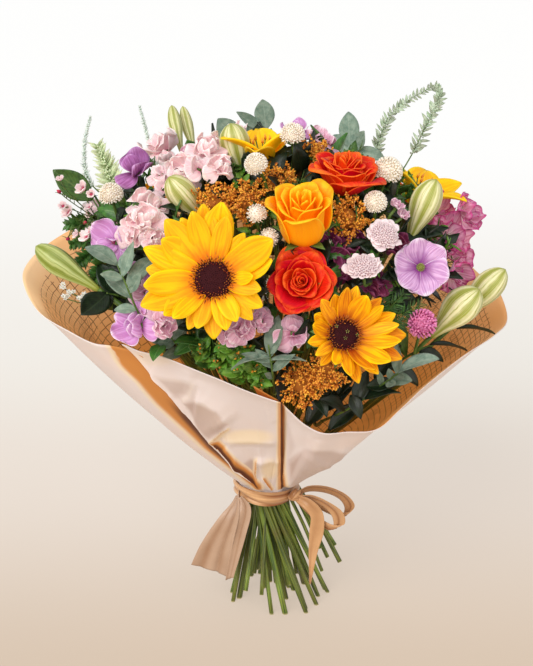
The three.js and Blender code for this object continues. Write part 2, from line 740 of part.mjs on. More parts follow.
leafyStem({
  name: 'eucalyptus_left', finish: 'eucalyptus',
  line: [[-104, -16, 96], [-126, 16, 146], [-142, 52, 158], [-152, 74, 152]],
  leaves: [
    { along: 0.5, out: [-0.7, 0.8, 0.1], face: [0.3, 0.2, 0.9], length: 36, width: 17 },
    { along: 0.6, out: [0.55, 0.85, 0.1], face: [-0.4, 0, 0.9], length: 40, width: 16 },
    { along: 0.9, out: [-0.8, 0.7, 0.1], face: [0.4, 0.3, 0.9], length: 38, width: 19 },
  ],
});
leafyStem({
  name: 'eucalyptus_low', finish: 'eucalyptus', line: [[-70, -34, 72], [-90, -22, 118], [-102, -14, 140]],
  leaves: [
    { along: 0.95, out: [-0.2, 1, 0.15], face: [0, -0.1, 1], length: 34, width: 17 },
    { along: 0.75, out: [-0.9, 0.4, 0.1], face: [0.1, 0.3, 1], length: 36, width: 22 },
  ],
});
leafyStem({
  name: 'eucalyptus_centre', finish: 'eucalyptus', line: [[10, -62, 80], [8, -44, 136], [4, -16, 162]],
  leaves: [
    { along: 0.95, out: [0.2, 1, 0.1], face: [-0.2, -0.1, 1], length: 38, width: 19 },
    { along: 0.9, out: [-1, 0.05, 0.1], face: [0, 0.8, 0.6], length: 42, width: 14 },
    { along: 0.85, out: [0.95, 0.25, 0.1], face: [0, 0.8, 0.6], length: 36, width: 13 },
  ],
});
leafyStem({
  name: 'eucalyptus_top', finish: 'eucalyptus', line: [[-30, 150, -80], [-26, 184, -100], [0, 204, -104]],
  leaves: [
    { along: 0.98, out: [-0.05, 1, 0], face: [0.2, 0, 1], length: 34, width: 22 },
    { along: 0.95, out: [-0.9, 0.5, 0.2], face: [0, 0.6, 0.8], length: 36, width: 14 },
    { along: 0.5, out: [-0.55, 0.85, 0], face: [0.3, 0, 1], length: 42, width: 26 },
  ],
});
leafyStem({
  name: 'eucalyptus_top_right', finish: 'eucalyptus', line: [[96, 130, -70], [90, 166, -84], [82, 186, -88]],
  leaves: [
    { along: 0.98, out: [0.02, 1, 0], face: [0.1, 0, 1], length: 40, width: 22 },
    { along: 0.6, out: [-0.55, 0.8, 0.1], face: [0.1, 0, 1], length: 40, width: 30 },
    { along: 0.8, out: [0.9, 0.1, 0.2], face: [0, 0.5, 0.8], length: 36, width: 16 },
  ],
});
leafyStem({
  name: 'eucalyptus_right', finish: 'eucalyptus', line: [[100, -62, 76], [122, -48, 124], [136, -38, 144]],
  leaves: [
    { along: 0.95, out: [-0.1, 1, 0.1], face: [-0.3, 0, 1], length: 36, width: 18 },
    { along: 0.97, out: [0.95, 0.5, 0.1], face: [-0.1, 0.7, 0.7], length: 44, width: 15 },
    { along: 0.6, out: [0.7, -0.3, 0.4], face: [0.1, 0.5, 0.8], length: 34, width: 22 },
  ],
});

// Green foliage

leafyStem({
  name: 'leaf_left', finish: 'leaf', line: [[-134, 92, -6], [-160, 114, -8], [-174, 134, -10]],
  leaves: [
    { along: 0.98, out: [-0.85, 0.6, 0], face: [0.2, 0.1, 1], length: 50, width: 28 },
    { along: 0.7, out: [-0.3, -0.9, 0.5], face: [-0.4, 0.2, 1], length: 40, width: 22 },
  ],
});
leafyStem({
  name: 'leaf_front', finish: 'leaf', line: [[-40, -50, 64], [-56, -24, 106], [-64, -12, 124]],
  leaves: [
    { along: 0.9, out: [-0.5, 0.4, 0.6], face: [0.3, 0.8, 0.5], length: 34, width: 24 },
    { along: 0.95, out: [0.25, 0.95, 0.2], face: [-0.2, 0, 1], length: 34, width: 24 },
    { along: 0.6, out: [0.3, -0.3, 0.9], face: [0, 0.9, 0.4], length: 30, width: 20 },
  ],
});

// A sprig with small rounded leaves on alternate sides.
const sprigLeaves = (count) => Array.from({ length: count }, (_, i) => {
  const side = i % 2 ? 1 : -1;
  const out = [side * 0.85, 0.35 + 0.3 * Math.sin(i * 2.1), 0.35];
  const along = 0.35 + (0.65 * i) / count;
  return { along, out, face: [0, 0.5, 0.9], length: 17 + 3 * Math.sin(i), width: 13 };
});
leafyStem({
  name: 'sprig_front', finish: 'leaf', line: [[-10, -64, 76], [-24, -42, 124], [-36, -12, 146]],
  leaves: sprigLeaves(7), form: { rows: 2 },
});
leafyStem({
  name: 'dark_leaves_front', finish: 'darkLeaf', line: [[56, -88, 58], [82, -76, 100], [106, -64, 118]],
  leaves: [
    { along: 0.35, out: [0.2, -0.3, 0.9], face: [-0.1, 0.9, 0.4], length: 42, width: 25 },
    { along: 0.6, out: [-0.7, 0.1, 0.5], face: [0.3, 0.6, 0.7], length: 46, width: 22 },
    { along: 0.95, out: [0.7, -0.3, 0.4], face: [0, 0.8, 0.6], length: 44, width: 26 },
  ],
});
leafyStem({
  name: 'dark_leaves_right', finish: 'darkLeaf', line: [[130, -30, 70], [156, -24, 92], [172, -20, 94]],
  leaves: [
    { along: 0.98, out: [1, 0.25, -0.1], face: [0, 0.7, 0.7], length: 54, width: 12 },
    { along: 0.8, out: [0.95, -0.25, 0.1], face: [0.1, 0.7, 0.7], length: 46, width: 14 },
    { along: 0.5, out: [0.5, -0.8, 0.5], face: [0.2, 0.5, 0.8], length: 40, width: 22 },
  ],
});
leafyStem({
  name: 'dark_leaves_left', finish: 'darkLeaf', line: [[-112, 24, 40], [-144, 36, 74], [-160, 40, 84]],
  leaves: [
    { along: 0.95, out: [-0.6, -0.6, 0.5], face: [-0.1, 0.4, 0.9], length: 40, width: 28 },
    { along: 0.6, out: [-0.4, 0.8, 0.3], face: [0.2, 0.1, 1], length: 38, width: 24 },
  ],
});
leafyStem({
  name: 'leaves_back', finish: 'leaf', line: [[0, 104, -60], [10, 122, -96], [22, 134, -114]],
  leaves: [
    { along: 0.95, out: [0.4, 0.8, -0.5], face: [0, 0.6, -0.6], length: 46, width: 28 },
    { along: 0.9, out: [-0.8, 0.6, -0.4], face: [0.2, 0.5, -0.7], length: 48, width: 28 },
    { along: 0.8, out: [0.9, 0.3, -0.5], face: [0, 0.5, -0.8], length: 46, width: 26 },
  ],
});

// Feathery stems: flat fronds from one root, toothed along both sides, facing the front of the bouquet

// A flat frond along points: bare up to the share `start`, then toothed on both sides to its tip.
function frond(points, { teeth, length, start, stalk }) {
  const middle = [];
  const cells = [];
  const edges = [];
  const line = (share) => alongLine(points, share);
  const steps = Array.from({ length: teeth + 1 }, (_, k) => start + ((0.97 - start) * k) / teeth);
  const shares = [0, start / 2, ...steps];
  shares.forEach((share, k) => {
    const at = line(share);
    const ahead = line(Math.min(0.999, share + 0.05)).sub(line(Math.max(0, share - 0.05))).normalize();
    const side = ahead.clone().cross(TOWARD).normalize();
    const half = stalk * (1 - 0.4 * share);
    middle.push(at.clone().addScaledVector(side, -half), at.clone().addScaledVector(side, half));
    if (k === 0) return;
    const [a, b] = [2 * k - 2, 2 * k];
    cells.push([a, b, b + 1], [a, b + 1, a + 1]);
  });
  edges.push([0, 1], [2 * shares.length - 1, 2 * shares.length - 2]);
  for (let k = 1; k < shares.length; k++) {
    const [a, b] = [2 * k - 2, 2 * k];
    if (shares[k] <= start) {
      edges.push([b, a], [a + 1, b + 1]);
      continue;
    }
    const at = line((shares[k] + shares[k - 1]) / 2);
    const ahead = middle[b].clone().sub(middle[a]).normalize();
    const side = ahead.clone().cross(TOWARD).normalize();
    for (const turn of [-1, 1]) {
      const reach = length * (1 - 0.6 * shares[k]) * (1 + 0.15 * Math.sin(k * 2.3 + turn));
      const out = side.clone().multiplyScalar(turn).addScaledVector(ahead, 0.75);
      out.addScaledVector(TOWARD, 0.3 * Math.sin(k)).normalize();
      middle.push(at.clone().addScaledVector(out, reach));
    }
    cells.push(['tooth', k]);
  }
  const teethStart = 2 * shares.length;
  let tooth = teethStart;
  const solidCells = [];
  for (const cell of cells) {
    if (cell[0] !== 'tooth') {
      solidCells.push(cell);
      continue;
    }
    const [a, b] = [2 * cell[1] - 2, 2 * cell[1]];
    const [left, right] = [tooth, tooth + 1];
    tooth += 2;
    solidCells.push([a, left, b], [a + 1, b + 1, right]);
    edges.push([left, a], [b, left], [a + 1, right], [right, b + 1]);
  }
  return thickened(middle, solidCells, edges, BLADE * 1.6);
}

// One or more fronds that grow from one short root.
function feathered({ name, root, tips, finish, teeth, length, start = 0.3 }) {
  const seat = seen(...root);
  const ahead = seen(...tips[0][0]).sub(seat).normalize();
  const parts = tips.map((tip) => {
    const path = [seat.clone().addScaledVector(ahead, 2), ...tip.map((p) => seen(...p))];
    const points = new THREE.CatmullRomCurve3(path).getPoints(8);
    return frond(points, { teeth, length, start, stalk: 0.9 });
  });
  parts.push(placed(turned([[1.8, 0], [1.8, 5]], 4), seat, ahead));
  keep(name, fuse(parts), finish);
  seatStem(seat, ahead, 2, true);
}

feathered({
  name: 'plume_right', finish: 'plume', teeth: 9, length: 24, root: [88, 106, -66],
  tips: [
    [[106, 172, -92], [126, 220, -100], [166, 247, -104]],
    [[134, 160, -98], [160, 208, -106], [173, 240, -108]],
  ],
});
feathered({
  name: 'spikes_silver', finish: 'silver', teeth: 8, length: 10, root: [-134, 116, -36],
  tips: [
    [[-160, 158, -46], [-172, 190, -50], [-177, 216, -52]],
    [[-118, 160, -50], [-114, 190, -54], [-125, 224, -54]],
  ],
});
feathered({
  name: 'plume_pale', finish: 'plume', teeth: 9, length: 20, root: [-136, 100, -54],
  tips: [[[-150, 140, -70], [-158, 162, -76], [-170, 188, -78]]],
});
feathered({
  name: 'fern_right', finish: 'leaf', teeth: 7, length: 24, root: [106, -8, 84],
  tips: [[[118, 18, 118], [136, 38, 126]], [[124, 0, 118], [142, 6, 122]]],
});

// The wrapper: straight walls from the gathered tie to a waved rim, given as [angle, radius, height]

const RIM_BACK = [
  [-88, 140, 302], [-75, 143, 265], [-68, 146, 256], [-60, 149, 254], [-51, 164, 260], [-43, 174, 274],
  [-35, 190, 289], [-24, 207, 306], [-8, 231, 316], [-2, 236, 320], [8, 232, 330], [20, 229, 326],
  [36, 232, 332], [62, 214, 360], [90, 196, 394], [120, 204, 380], [150, 224, 364], [174, 238, 360],
  [180, 238, 358], [186, 224, 334], [196, 190, 320], [204, 162, 304],
];
const RIM_FRONT = [
  [198, 158, 312], [208, 156, 322], [230, 150, 330], [248, 147, 322], [264, 146, 308], [276, 150, 292],
];

// `inset` gives how far the sheet stands inside the other one at its two ends. The sheet runs straight
// up through the band, then straight out to its rim.
function paperWall(rim, steps, rows, inset) {
  const curve = new THREE.CatmullRomCurve3(rim.map((p) => point(...p)));
  const neck = 1 / rows;
  const top = TIE_HEIGHT + BAND_HEIGHT / 2 + 1;
  return sheet(rows, steps, PAPER, (s, t) => {
    const { x: angle, y: radius, z: height } = curve.getPoint((t + 1) / 2);
    const a = degToRad(angle);
    const pleat = PLEAT_DEPTH * Math.sin(a * PLEATS);
    const tie = PAPER_TIE_RADIUS - THREE.MathUtils.lerp(...inset, (t + 1) / 2) + pleat;
    const out = Math.max(0, (s - neck) / (1 - neck));
    const bow = 4 * Math.sin(Math.PI * out) * Math.sin(a * 3);
    const r = THREE.MathUtils.lerp(tie, radius, out) + bow;
    const z = s < neck ? top - (BAND_HEIGHT + 2) * (1 - s / neck) : THREE.MathUtils.lerp(top, height, out);
    return point(r * Math.cos(a), r * Math.sin(a), z);
  });
}
keep('wrapper_back', paperWall(RIM_BACK, 28, 3, [0, 0]), 'paper');
keep('wrapper_front', paperWall(RIM_FRONT, 10, 3, [1.7, -1.7]), 'paper');

// The ribbon: a band round the gathered paper, a bow at the right and two tails

function bandRing() {
  const [inner, outer] = [BAND_RADIUS, BAND_RADIUS + RIBBON * 1.5];
  const [low, high] = [TIE_HEIGHT - BAND_HEIGHT / 2, TIE_HEIGHT + BAND_HEIGHT / 2];
  const profile = [[inner, low], [outer, low], [outer, high], [inner, high], [inner, low]];
  const outline = profile.map(([x, y]) => new THREE.Vector2(x, y));
  return toSolid(new THREE.LatheGeometry(outline, 20).rotateX(Math.PI / 2));
}

// A length of ribbon through points, each with its width and the direction across it.
function ribbonStrip(path, steps) {
  const curve = new THREE.CatmullRomCurve3(path.map(({ at }) => at));
  const last = path.length - 1;
  return sheet(steps, 1, RIBBON, (s, t) => {
    const k = Math.min(last - 1, Math.floor(s * last));
    const share = s * last - k;
    const half = THREE.MathUtils.lerp(path[k].width, path[k + 1].width, share) / 2;
    const side = path[k].across.clone().lerp(path[k + 1].across, share).normalize();
    return curve.getPoint(s).addScaledVector(side, half * t);
  });
}
const ribbonPoint = (at, width, across) => ({ at: point(...at), width, across: point(...across) });

const KNOT = point(29.8, -27.7, TIE_HEIGHT + 1);
const KNOT_RADIUS = 8;

function ribbonBow() {
  const knot = toSolid(new THREE.SphereGeometry(KNOT_RADIUS, 8, 6).scale(1, 0.8, 1));
  const loops = [
    ribbonStrip([
      ribbonPoint([0, -2, 2], 7, [0, 0, 1]), ribbonPoint([22, -5, 9], 12, [0, 0.2, 1]),
      ribbonPoint([44, 2, 4], 13, [0, 0.3, 1]), ribbonPoint([50, 9, -3], 13, [0.2, 0.2, 1]),
      ribbonPoint([38, 9, -5], 12, [0, 0, 1]), ribbonPoint([18, 5, 0], 10, [0, 0, 1]),
      ribbonPoint([2, 1, 0], 6, [0, 0, 1]),
    ], 9),
    ribbonStrip([
      ribbonPoint([0, -4, -2], 6, [0, 0, 1]), ribbonPoint([18, -12, -7], 11, [0.3, 0, 1]),
      ribbonPoint([34, -11, -18], 11, [0.5, 0, 1]), ribbonPoint([37, -4, -23], 10, [0.5, 0, 1]),
      ribbonPoint([27, -1, -19], 9, [0.4, 0, 1]), ribbonPoint([1, 0, -3], 5, [0, 0, 1]),
    ], 8),
  ];
  const tail = ribbonStrip([
    ribbonPoint([1, -4, -2], 8, [1, 0.2, 0.4]), ribbonPoint([9, -13, -16], 14, [1, 0.3, 0]),
    ribbonPoint([11, -20, -48], 13, [0.9, 0.5, 0]), ribbonPoint([4, -24, -86], 1.6, [0.9, 0.5, 0]),
  ], 6);
  return fuse([knot, ...loops, tail]).translate(KNOT.x, KNOT.y, KNOT.z);
}
keep('ribbon_band', bandRing(), 'ribbon');
keep('ribbon_bow', ribbonBow(), 'ribbon');
keep('ribbon_tail_wide', ribbonStrip([
  ribbonPoint([-25.7, -22.3, 122], 9, [0.2, -0.2, 1]), ribbonPoint([-38, -33, 104], 20, [0.8, -0.4, 0.2]),
  ribbonPoint([-50, -38, 74], 34, [0.9, -0.3, 0]), ribbonPoint([-56, -42, 46], 44, [0.95, -0.2, -0.1]),
], 7), 'ribbon');

// The stems: a spiral bunch, each stem slanting the same way past its neighbours at the tie

// Where a stem runs straight up to before it bends to its head.
function neckOf({ at, direction }) {
  const share = Math.min(1, Math.hypot(at.x, at.y) / DOME_RADII.x);
  return at.clone().addScaledVector(direction, -28 - 12 * share);
}

// Every stem crosses the tie a quarter turn round from its slant, and as far from the axis as it slants,
// so no two meet. Where heads crowd, their stems are eased apart.
function layStems(stems) {
  for (const stem of stems) {
    const { x, y, z } = neckOf(stem);
    const rise = z - TIE_HEIGHT;
    const scale = 1 / (rise * rise + SPIRAL * SPIRAL);
    stem.slant = point(rise * x + SPIRAL * y, rise * y - SPIRAL * x, 0).multiplyScalar(scale);
    stem.tie = point(-stem.slant.y, stem.slant.x, 0).multiplyScalar(SPIRAL);
  }
  for (let round = 0; round < 200; round++) {
    stems.forEach((p, i) => {
      for (const q of stems.slice(i + 1)) {
        const apart = q.tie.clone().sub(p.tie);
        const short = p.radius + q.radius + 0.3 - apart.length();
        if (short <= 0) continue;
        apart.normalize().multiplyScalar(short / 2);
        p.tie.sub(apart);
        q.tie.add(apart);
      }
      p.tie.clampLength(0, BUNCH_RADIUS - p.radius);
    });
  }
}

function stemLine(stem, k) {
  const { at, slant, tie } = stem;
  const reach = FOOT_SPLAY * TIE_HEIGHT;
  const foot = tie.clone().addScaledVector(slant, -reach).add(BASE_SHIFT);
  foot.z = slant.length() > 0.4 ? 0 : 4 + 18 * Math.abs(Math.sin(k * 2.7));
  return [foot, tie.clone().setZ(TIE_HEIGHT), neckOf(stem), at];
}

// A side shoot that leaves the stem passing nearest to where the shoot ends.
function shootLine({ at, direction }, lines) {
  const forks = lines.map(([, tie, neck]) => tie.clone().lerp(neck, 0.62));
  const fork = forks.sort((p, q) => p.distanceTo(at) - q.distanceTo(at))[0];
  return [fork, at.clone().addScaledVector(direction, -16), at];
}

function stemBunch() {
  const mains = seats.filter(({ isShoot }) => !isShoot);
  layStems(mains);
  const lines = mains.map(stemLine);
  const stems = mains.map(({ radius }, k) => tube(lines[k], radius, radius > 2.5 ? 5 : 4, true));
  const shoots = seats
    .filter(({ isShoot }) => isShoot)
    .map((shoot) => tube(shootLine(shoot, lines), shoot.radius, 4));
  const string = turned([[STRING_RADIUS, -STRING_HEIGHT / 2], [STRING_RADIUS, STRING_HEIGHT / 2]], 16);
  return fuse([string.translate(0, 0, TIE_HEIGHT), ...stems, ...shoots]);
}
keep('stems', stemBunch(), 'stem');

// The bouquet

function meshOf({ name, solid, finish }) {
  const { numProp, vertProperties, triVerts } = solid.getMesh();
  const positions = new Float32Array((vertProperties.length / numProp) * 3);
  for (let i = 0; i * numProp < vertProperties.length; i++) {
    positions.set(vertProperties.subarray(i * numProp, i * numProp + 3), i * 3);
  }
  const geometry = new THREE.BufferGeometry();
  geometry.setAttribute('position', new THREE.BufferAttribute(positions, 3));
  geometry.setIndex(new THREE.BufferAttribute(triVerts, 1));
  const mesh = new THREE.Mesh(geometry, FINISH[finish]);
  mesh.name = name;
  return mesh;
}

const bouquet = new THREE.Group();
for (const node of nodes) bouquet.add(meshOf(node));

// The origin is on the floor, below the middle of the whole bouquet's box.
const whole = new THREE.Box3().setFromObject(bouquet);
const centre = whole.getCenter(point(0, 0, 0));
bouquet.position.set(-centre.x, -centre.y, -whole.min.z);

export default bouquet;
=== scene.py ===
import math
import random

import bmesh
import bpy
import numpy as np
from mathutils import Matrix, Vector


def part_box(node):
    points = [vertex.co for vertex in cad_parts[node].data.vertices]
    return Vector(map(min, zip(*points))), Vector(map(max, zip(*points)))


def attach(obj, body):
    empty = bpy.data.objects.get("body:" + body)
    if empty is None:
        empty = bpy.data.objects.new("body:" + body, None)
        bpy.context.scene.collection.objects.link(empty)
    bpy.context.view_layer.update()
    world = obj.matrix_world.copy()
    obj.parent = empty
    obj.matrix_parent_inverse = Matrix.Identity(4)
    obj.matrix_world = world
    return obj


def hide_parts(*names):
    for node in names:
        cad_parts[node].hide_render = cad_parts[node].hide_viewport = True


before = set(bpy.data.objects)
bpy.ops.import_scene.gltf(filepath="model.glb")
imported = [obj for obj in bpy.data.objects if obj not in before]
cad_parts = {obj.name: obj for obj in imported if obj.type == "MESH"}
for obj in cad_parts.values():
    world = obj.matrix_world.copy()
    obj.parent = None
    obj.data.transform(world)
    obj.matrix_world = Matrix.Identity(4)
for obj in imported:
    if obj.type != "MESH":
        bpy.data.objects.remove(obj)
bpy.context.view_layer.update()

# A hand-tied bouquet of mixed flowers in printed paper with a satin ribbon, standing on its cut stems.
# Places and sizes are millimetres until a mesh is written, and the front of the bouquet faces -Y.

MM = 0.001
TURN = 2 * math.pi
GOLDEN_ANGLE = math.pi * (3 - math.sqrt(5))

VIEW_RISE = math.radians(26)
VIEW_DISTANCE = 2200
VIEW_CENTRE = Vector((0, 0, 297))
PHOTO_WIDTH = 533
PHOTO_HEIGHT = 666
DOME_CENTRE = Vector((5, 0, 366))
DOME_RADII = Vector((190, 160, 138))

TIE_HEIGHT = 125
BUNCH_RADIUS = 25
SPIRAL = 29
FOOT_SPLAY = 0.6
BASE_SHIFT = Vector((12, -20, 0))
PAPER = 0.8
PAPER_TIE_RADIUS = 29.2
PLEATS = 9
PLEAT_DEPTH = 1.1
BAND_RADIUS = 32
BAND_HEIGHT = 15
KNOT = Vector((29.8, -27.7, TIE_HEIGHT + 1))

RIGHT = Vector((1, 0, 0))
UP = Vector((0, math.sin(VIEW_RISE), math.cos(VIEW_RISE)))
TOWARD = Vector((0, -math.cos(VIEW_RISE), math.sin(VIEW_RISE)))

# The band of ribbon goes round the axis of the bunch, so the middle of its box is where that axis is.
band_low, band_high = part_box("ribbon_band")
AXIS = Vector(((band_low.x + band_high.x) / 2, (band_low.y + band_high.y) / 2, 0)) / MM


# Places, as an arranger sees them from the front

def facing(right, up, toward):
    return (RIGHT * right + UP * up + TOWARD * toward).normalized()


def seen(across, rise, forward):
    """The point that shows at (across, rise) and stands `forward` nearer the viewer than VIEW_CENTRE."""
    shrink = 1 - forward / VIEW_DISTANCE
    return VIEW_CENTRE + RIGHT * across * shrink + UP * rise * shrink + TOWARD * forward


def sighted(at):
    """Where a point shows from the front, as (across, rise)."""
    off = at - VIEW_CENTRE
    share = VIEW_DISTANCE / (VIEW_DISTANCE - off.dot(TOWARD))
    return off.x * share, off.dot(UP) * share


def shared_out(v, w):
    return Vector((v.x / w.x, v.y / w.y, v.z / w.z))


def on_dome(across, rise, lift=0):
    """Where the sight line through (across, rise) meets the dome of flowers, or passes nearest to it."""
    radii = DOME_RADII + Vector((lift, lift, lift))
    eye = VIEW_CENTRE + TOWARD * VIEW_DISTANCE
    start = shared_out(eye - DOME_CENTRE, radii)
    along = seen(across, rise, 0) - eye
    step = shared_out(along, radii)
    a = step.dot(step)
    b = start.dot(step)
    inside = max(0, b * b - a * (start.dot(start) - 1))
    return eye + along * ((-b - math.sqrt(inside)) / a)


def round_dome(azimuth, height, lift=0):
    """A point of the dome by compass angle and height angle, for the back of the bouquet."""
    a, h = math.radians(azimuth), math.radians(height)
    radii = DOME_RADII + Vector((lift, lift, lift))
    out = Vector((math.cos(a) * math.cos(h), math.sin(a) * math.cos(h), math.sin(h)))
    return DOME_CENTRE + Vector((radii.x * out.x, radii.y * out.y, radii.z * out.z))


def dome_normal(at):
    return shared_out(shared_out(at - DOME_CENTRE, DOME_RADII), DOME_RADII).normalized()


def placed(at, direction, roll=0.0):
    """A place for a flower made about +Z: its +Z along `direction`, its +X as near `across` as it can."""
    z = direction.normalized()
    reference = RIGHT if abs(z.x) < 0.9 else UP
    x = (reference - z * reference.dot(z)).normalized()
    y = z.cross(x)
    turned = Matrix((x, y, z)).transposed().to_4x4()
    turned.translation = at
    return turned @ Matrix.Rotation(roll, 4, "Z")


def blade_place(at, direction, face, size=1.0, width=1.0):
    """A place for a blade that is made along +Y with its upper face along +Z."""
    y = direction.normalized()
    z = (face - y * face.dot(y)).normalized()
    x = y.cross(z)
    turned = Matrix((x * width, y * size, z * size)).transposed().to_4x4()
    turned.translation = at
    return turned


def petal_place(angle, out, height, lean, size, width, twist=0.0):
    """A place for a petal of a flower made about +Z, `lean` from its axis and with its face inwards."""
    place = Matrix.Rotation(angle, 4, "Z") @ Matrix.Translation((0, out, height))
    place = place @ Matrix.Rotation(math.pi / 2 - lean, 4, "X") @ Matrix.Rotation(twist, 4, "Y")
    return place @ Matrix.Diagonal((size * width, size, size, 1))


def along_line(points, share):
    place = min(share, 0.999) * (len(points) - 1)
    k = int(place)
    return points[k].lerp(points[k + 1], place - k)


def spans(points, steps):
    """For each step along a curve: the four given points about it, and its share of the way between two."""
    p = [2 * points[0] - points[1], *points, 2 * points[-1] - points[-2]]
    for i in range(steps + 1):
        place = i / steps * (len(points) - 1)
        k = min(int(place), len(points) - 2)
        yield *p[k : k + 4], place - k


def smooth_line(points, steps):
    """Points along a Catmull-Rom curve through the given ones."""
    line = []
    for a, b, c, d, t in spans(points, steps):
        bend = (2 * a - 5 * b + 4 * c - d) * t * t + (3 * b - a - 3 * c + d) * t ** 3
        line.append((2 * b + (c - a) * t + bend) / 2)
    return line


# Modelled forms

class Form:
    """A modelled shape kept as arrays, so that it can be bent and copied into a piece."""

    def __init__(self, points, corners, counts, spots):
        self.points = points
        self.corners = corners
        self.counts = counts
        self.spots = spots

    def spot_of_points(self):
        spots = np.zeros((len(self.points), 2), np.float32)
        spots[self.corners] = self.spots
        return spots

    def shaped(self, change):
        """The same form with its points moved by change(x, y, z, across, along)."""
        x, y, z = self.points.T
        u, v = self.spot_of_points().T
        points = np.stack(change(x, y, z, u, v), axis=1).astype(np.float32)
        return Form(points, self.corners, self.counts, self.spots)


def taken(made):
    """The finished mesh of an object as a form. The object is removed."""
    mesh = made.data
    points = np.empty(len(mesh.vertices) * 3, np.float32)
    mesh.vertices.foreach_get("co", points)
    corners = np.empty(len(mesh.loops), np.int32)
    mesh.loops.foreach_get("vertex_index", corners)
    counts = np.empty(len(mesh.polygons), np.int32)
    mesh.polygons.foreach_get("loop_total", counts)
    spots = np.empty(len(mesh.loops) * 2, np.float32)
    mesh.uv_layers.active.data.foreach_get("uv", spots)
    bpy.data.objects.remove(made)
    bpy.data.meshes.remove(mesh)
    return Form(points.reshape(-1, 3), corners, counts, spots.reshape(-1, 2))


def pick(made, test):
    """Selects the points of the mesh in edit mode that pass the test, and nothing else."""
    shape = bmesh.from_edit_mesh(made.data)
    for vertex in shape.verts:
        vertex.select = test(vertex.co)
    shape.select_flush_mode()
    bmesh.update_edit_mesh(made.data)


def apply_modifier(made, kind, **settings):
    bpy.ops.object.modifier_add(type=kind)
    modifier = made.modifiers[-1]
    for name, value in settings.items():
        setattr(modifier, name, value)
    bpy.ops.object.modifier_apply(modifier=modifier.name)


def edit_points():
    bpy.ops.object.mode_set(mode="EDIT")
    bpy.ops.mesh.select_mode(type="VERT")


def blade(outline, width=1.0, columns=4, cup=0.0, grooves=0.0, levels=1, thickness=0.02):
    """A petal or leaf of length 1 along +Y. `outline` gives its width, as shares, at even steps."""
    rows = len(outline) - 1
    bpy.ops.object.select_all(action="DESELECT")
    bpy.ops.mesh.primitive_grid_add(x_subdivisions=columns, y_subdivisions=rows, size=1)
    made = bpy.context.object
    edit_points()
    bpy.ops.mesh.select_all(action="SELECT")
    bpy.ops.transform.translate(value=(0, 0.5, 0))
    if cup or grooves:
        for k in range(columns + 1):
            across = k / columns - 0.5
            pick(made, lambda p: abs(p.x - across) < 0.01)
            rise = cup * (2 * across) ** 2 + (grooves if k % 2 else 0)
            bpy.ops.transform.translate(value=(0, 0, rise))
    for k, share in enumerate(outline):
        pick(made, lambda p: abs(p.y - k / rows) < 0.01)
        bpy.ops.transform.resize(
            value=(max(share, 1e-4) * width, 1, share ** 0.5), center_override=(0, k / rows, 0)
        )
    bpy.ops.mesh.select_all(action="SELECT")
    bpy.ops.mesh.remove_doubles(threshold=0.004)
    bpy.ops.object.mode_set(mode="OBJECT")
    if levels:
        apply_modifier(made, "SUBSURF", levels=levels, render_levels=levels)
    if thickness:
        apply_modifier(made, "SOLIDIFY", thickness=thickness, offset=0)
    return taken(made)


def curled(form, turn):
    """Bends a blade towards its upper face by `turn` from root to tip."""
    if abs(turn) < 1e-3:
        return form

    def bend(x, y, z, u, v):
        radius = 1 / turn
        return x, (radius - z) * np.sin(turn * y), radius - (radius - z) * np.cos(turn * y)

    return form.shaped(bend)


def ruffled(form, depth, waves, phase):
    """Waves the margin of a broad blade, more and more from its root to its edge."""

    def wave(x, y, z, u, v):
        angle = np.arctan2(u - 0.5, 0.25 + 0.75 * v)
        reach = np.clip(np.hypot((u - 0.5) * 1.3, v), 0, 1.2)
        lift = depth * reach ** 2.2 * np.sin(waves * angle * 2 + phase + 1.3 * np.sin(phase + 3 * v))
        round_off = 0.16 * (2 * u - 1) ** 2 * v ** 3
        return x, y - round_off + 0.3 * lift, z + lift

    return form.shaped(wave)


def twisted(form, turn):
    def twist(x, y, z, u, v):
        c, s = np.cos(turn * v), np.sin(turn * v)
        return x * c - z * s, y, x * s + z * c

    return form.shaped(twist)


def ball(segments, rings, profile):
    """A round form about +Z. `profile` gives [radius, height] for each ring from bottom to top."""
    bpy.ops.object.select_all(action="DESELECT")
    bpy.ops.mesh.primitive_uv_sphere_add(segments=segments, ring_count=rings, radius=1)
    made = bpy.context.object
    edit_points()
    heights = [-math.cos(math.pi * k / rings) for k in range(rings + 1)]
    for k in reversed(range(rings + 1)):
        share = k / rings * (len(profile) - 1)
        low = min(int(share), len(profile) - 2)
        radius, height = (
            a + (b - a) * (share - low) for a, b in zip(profile[low], profile[low + 1])
        )
        girth = max(math.sin(math.pi * k / rings), 1e-6)
        pick(made, lambda p: abs(p.z - heights[k]) < 1e-4)
        if 0 < k < rings:
            scale = max(radius, 1e-3) / girth
            bpy.ops.transform.resize(value=(scale, scale, 1), center_override=(0, 0, heights[k]))
        bpy.ops.transform.translate(value=(0, 0, height - heights[k] + 100))
    bpy.ops.mesh.select_all(action="SELECT")
    bpy.ops.transform.translate(value=(0, 0, -100))
    bpy.ops.object.mode_set(mode="OBJECT")
    return taken(made)


def bead(tip):
    """A tiny bud of twenty faces, drawn out to a tip when `tip` is more than 1."""
    bpy.ops.object.select_all(action="DESELECT")
    bpy.ops.mesh.primitive_ico_sphere_add(subdivisions=1, radius=1, calc_uvs=True)
    made = bpy.context.object
    edit_points()
    pick(made, lambda p: p.z > 0.9)
    bpy.ops.transform.translate(value=(0, 0, tip - 1))
    bpy.ops.object.mode_set(mode="OBJECT")
    return lengthwise(taken(made))


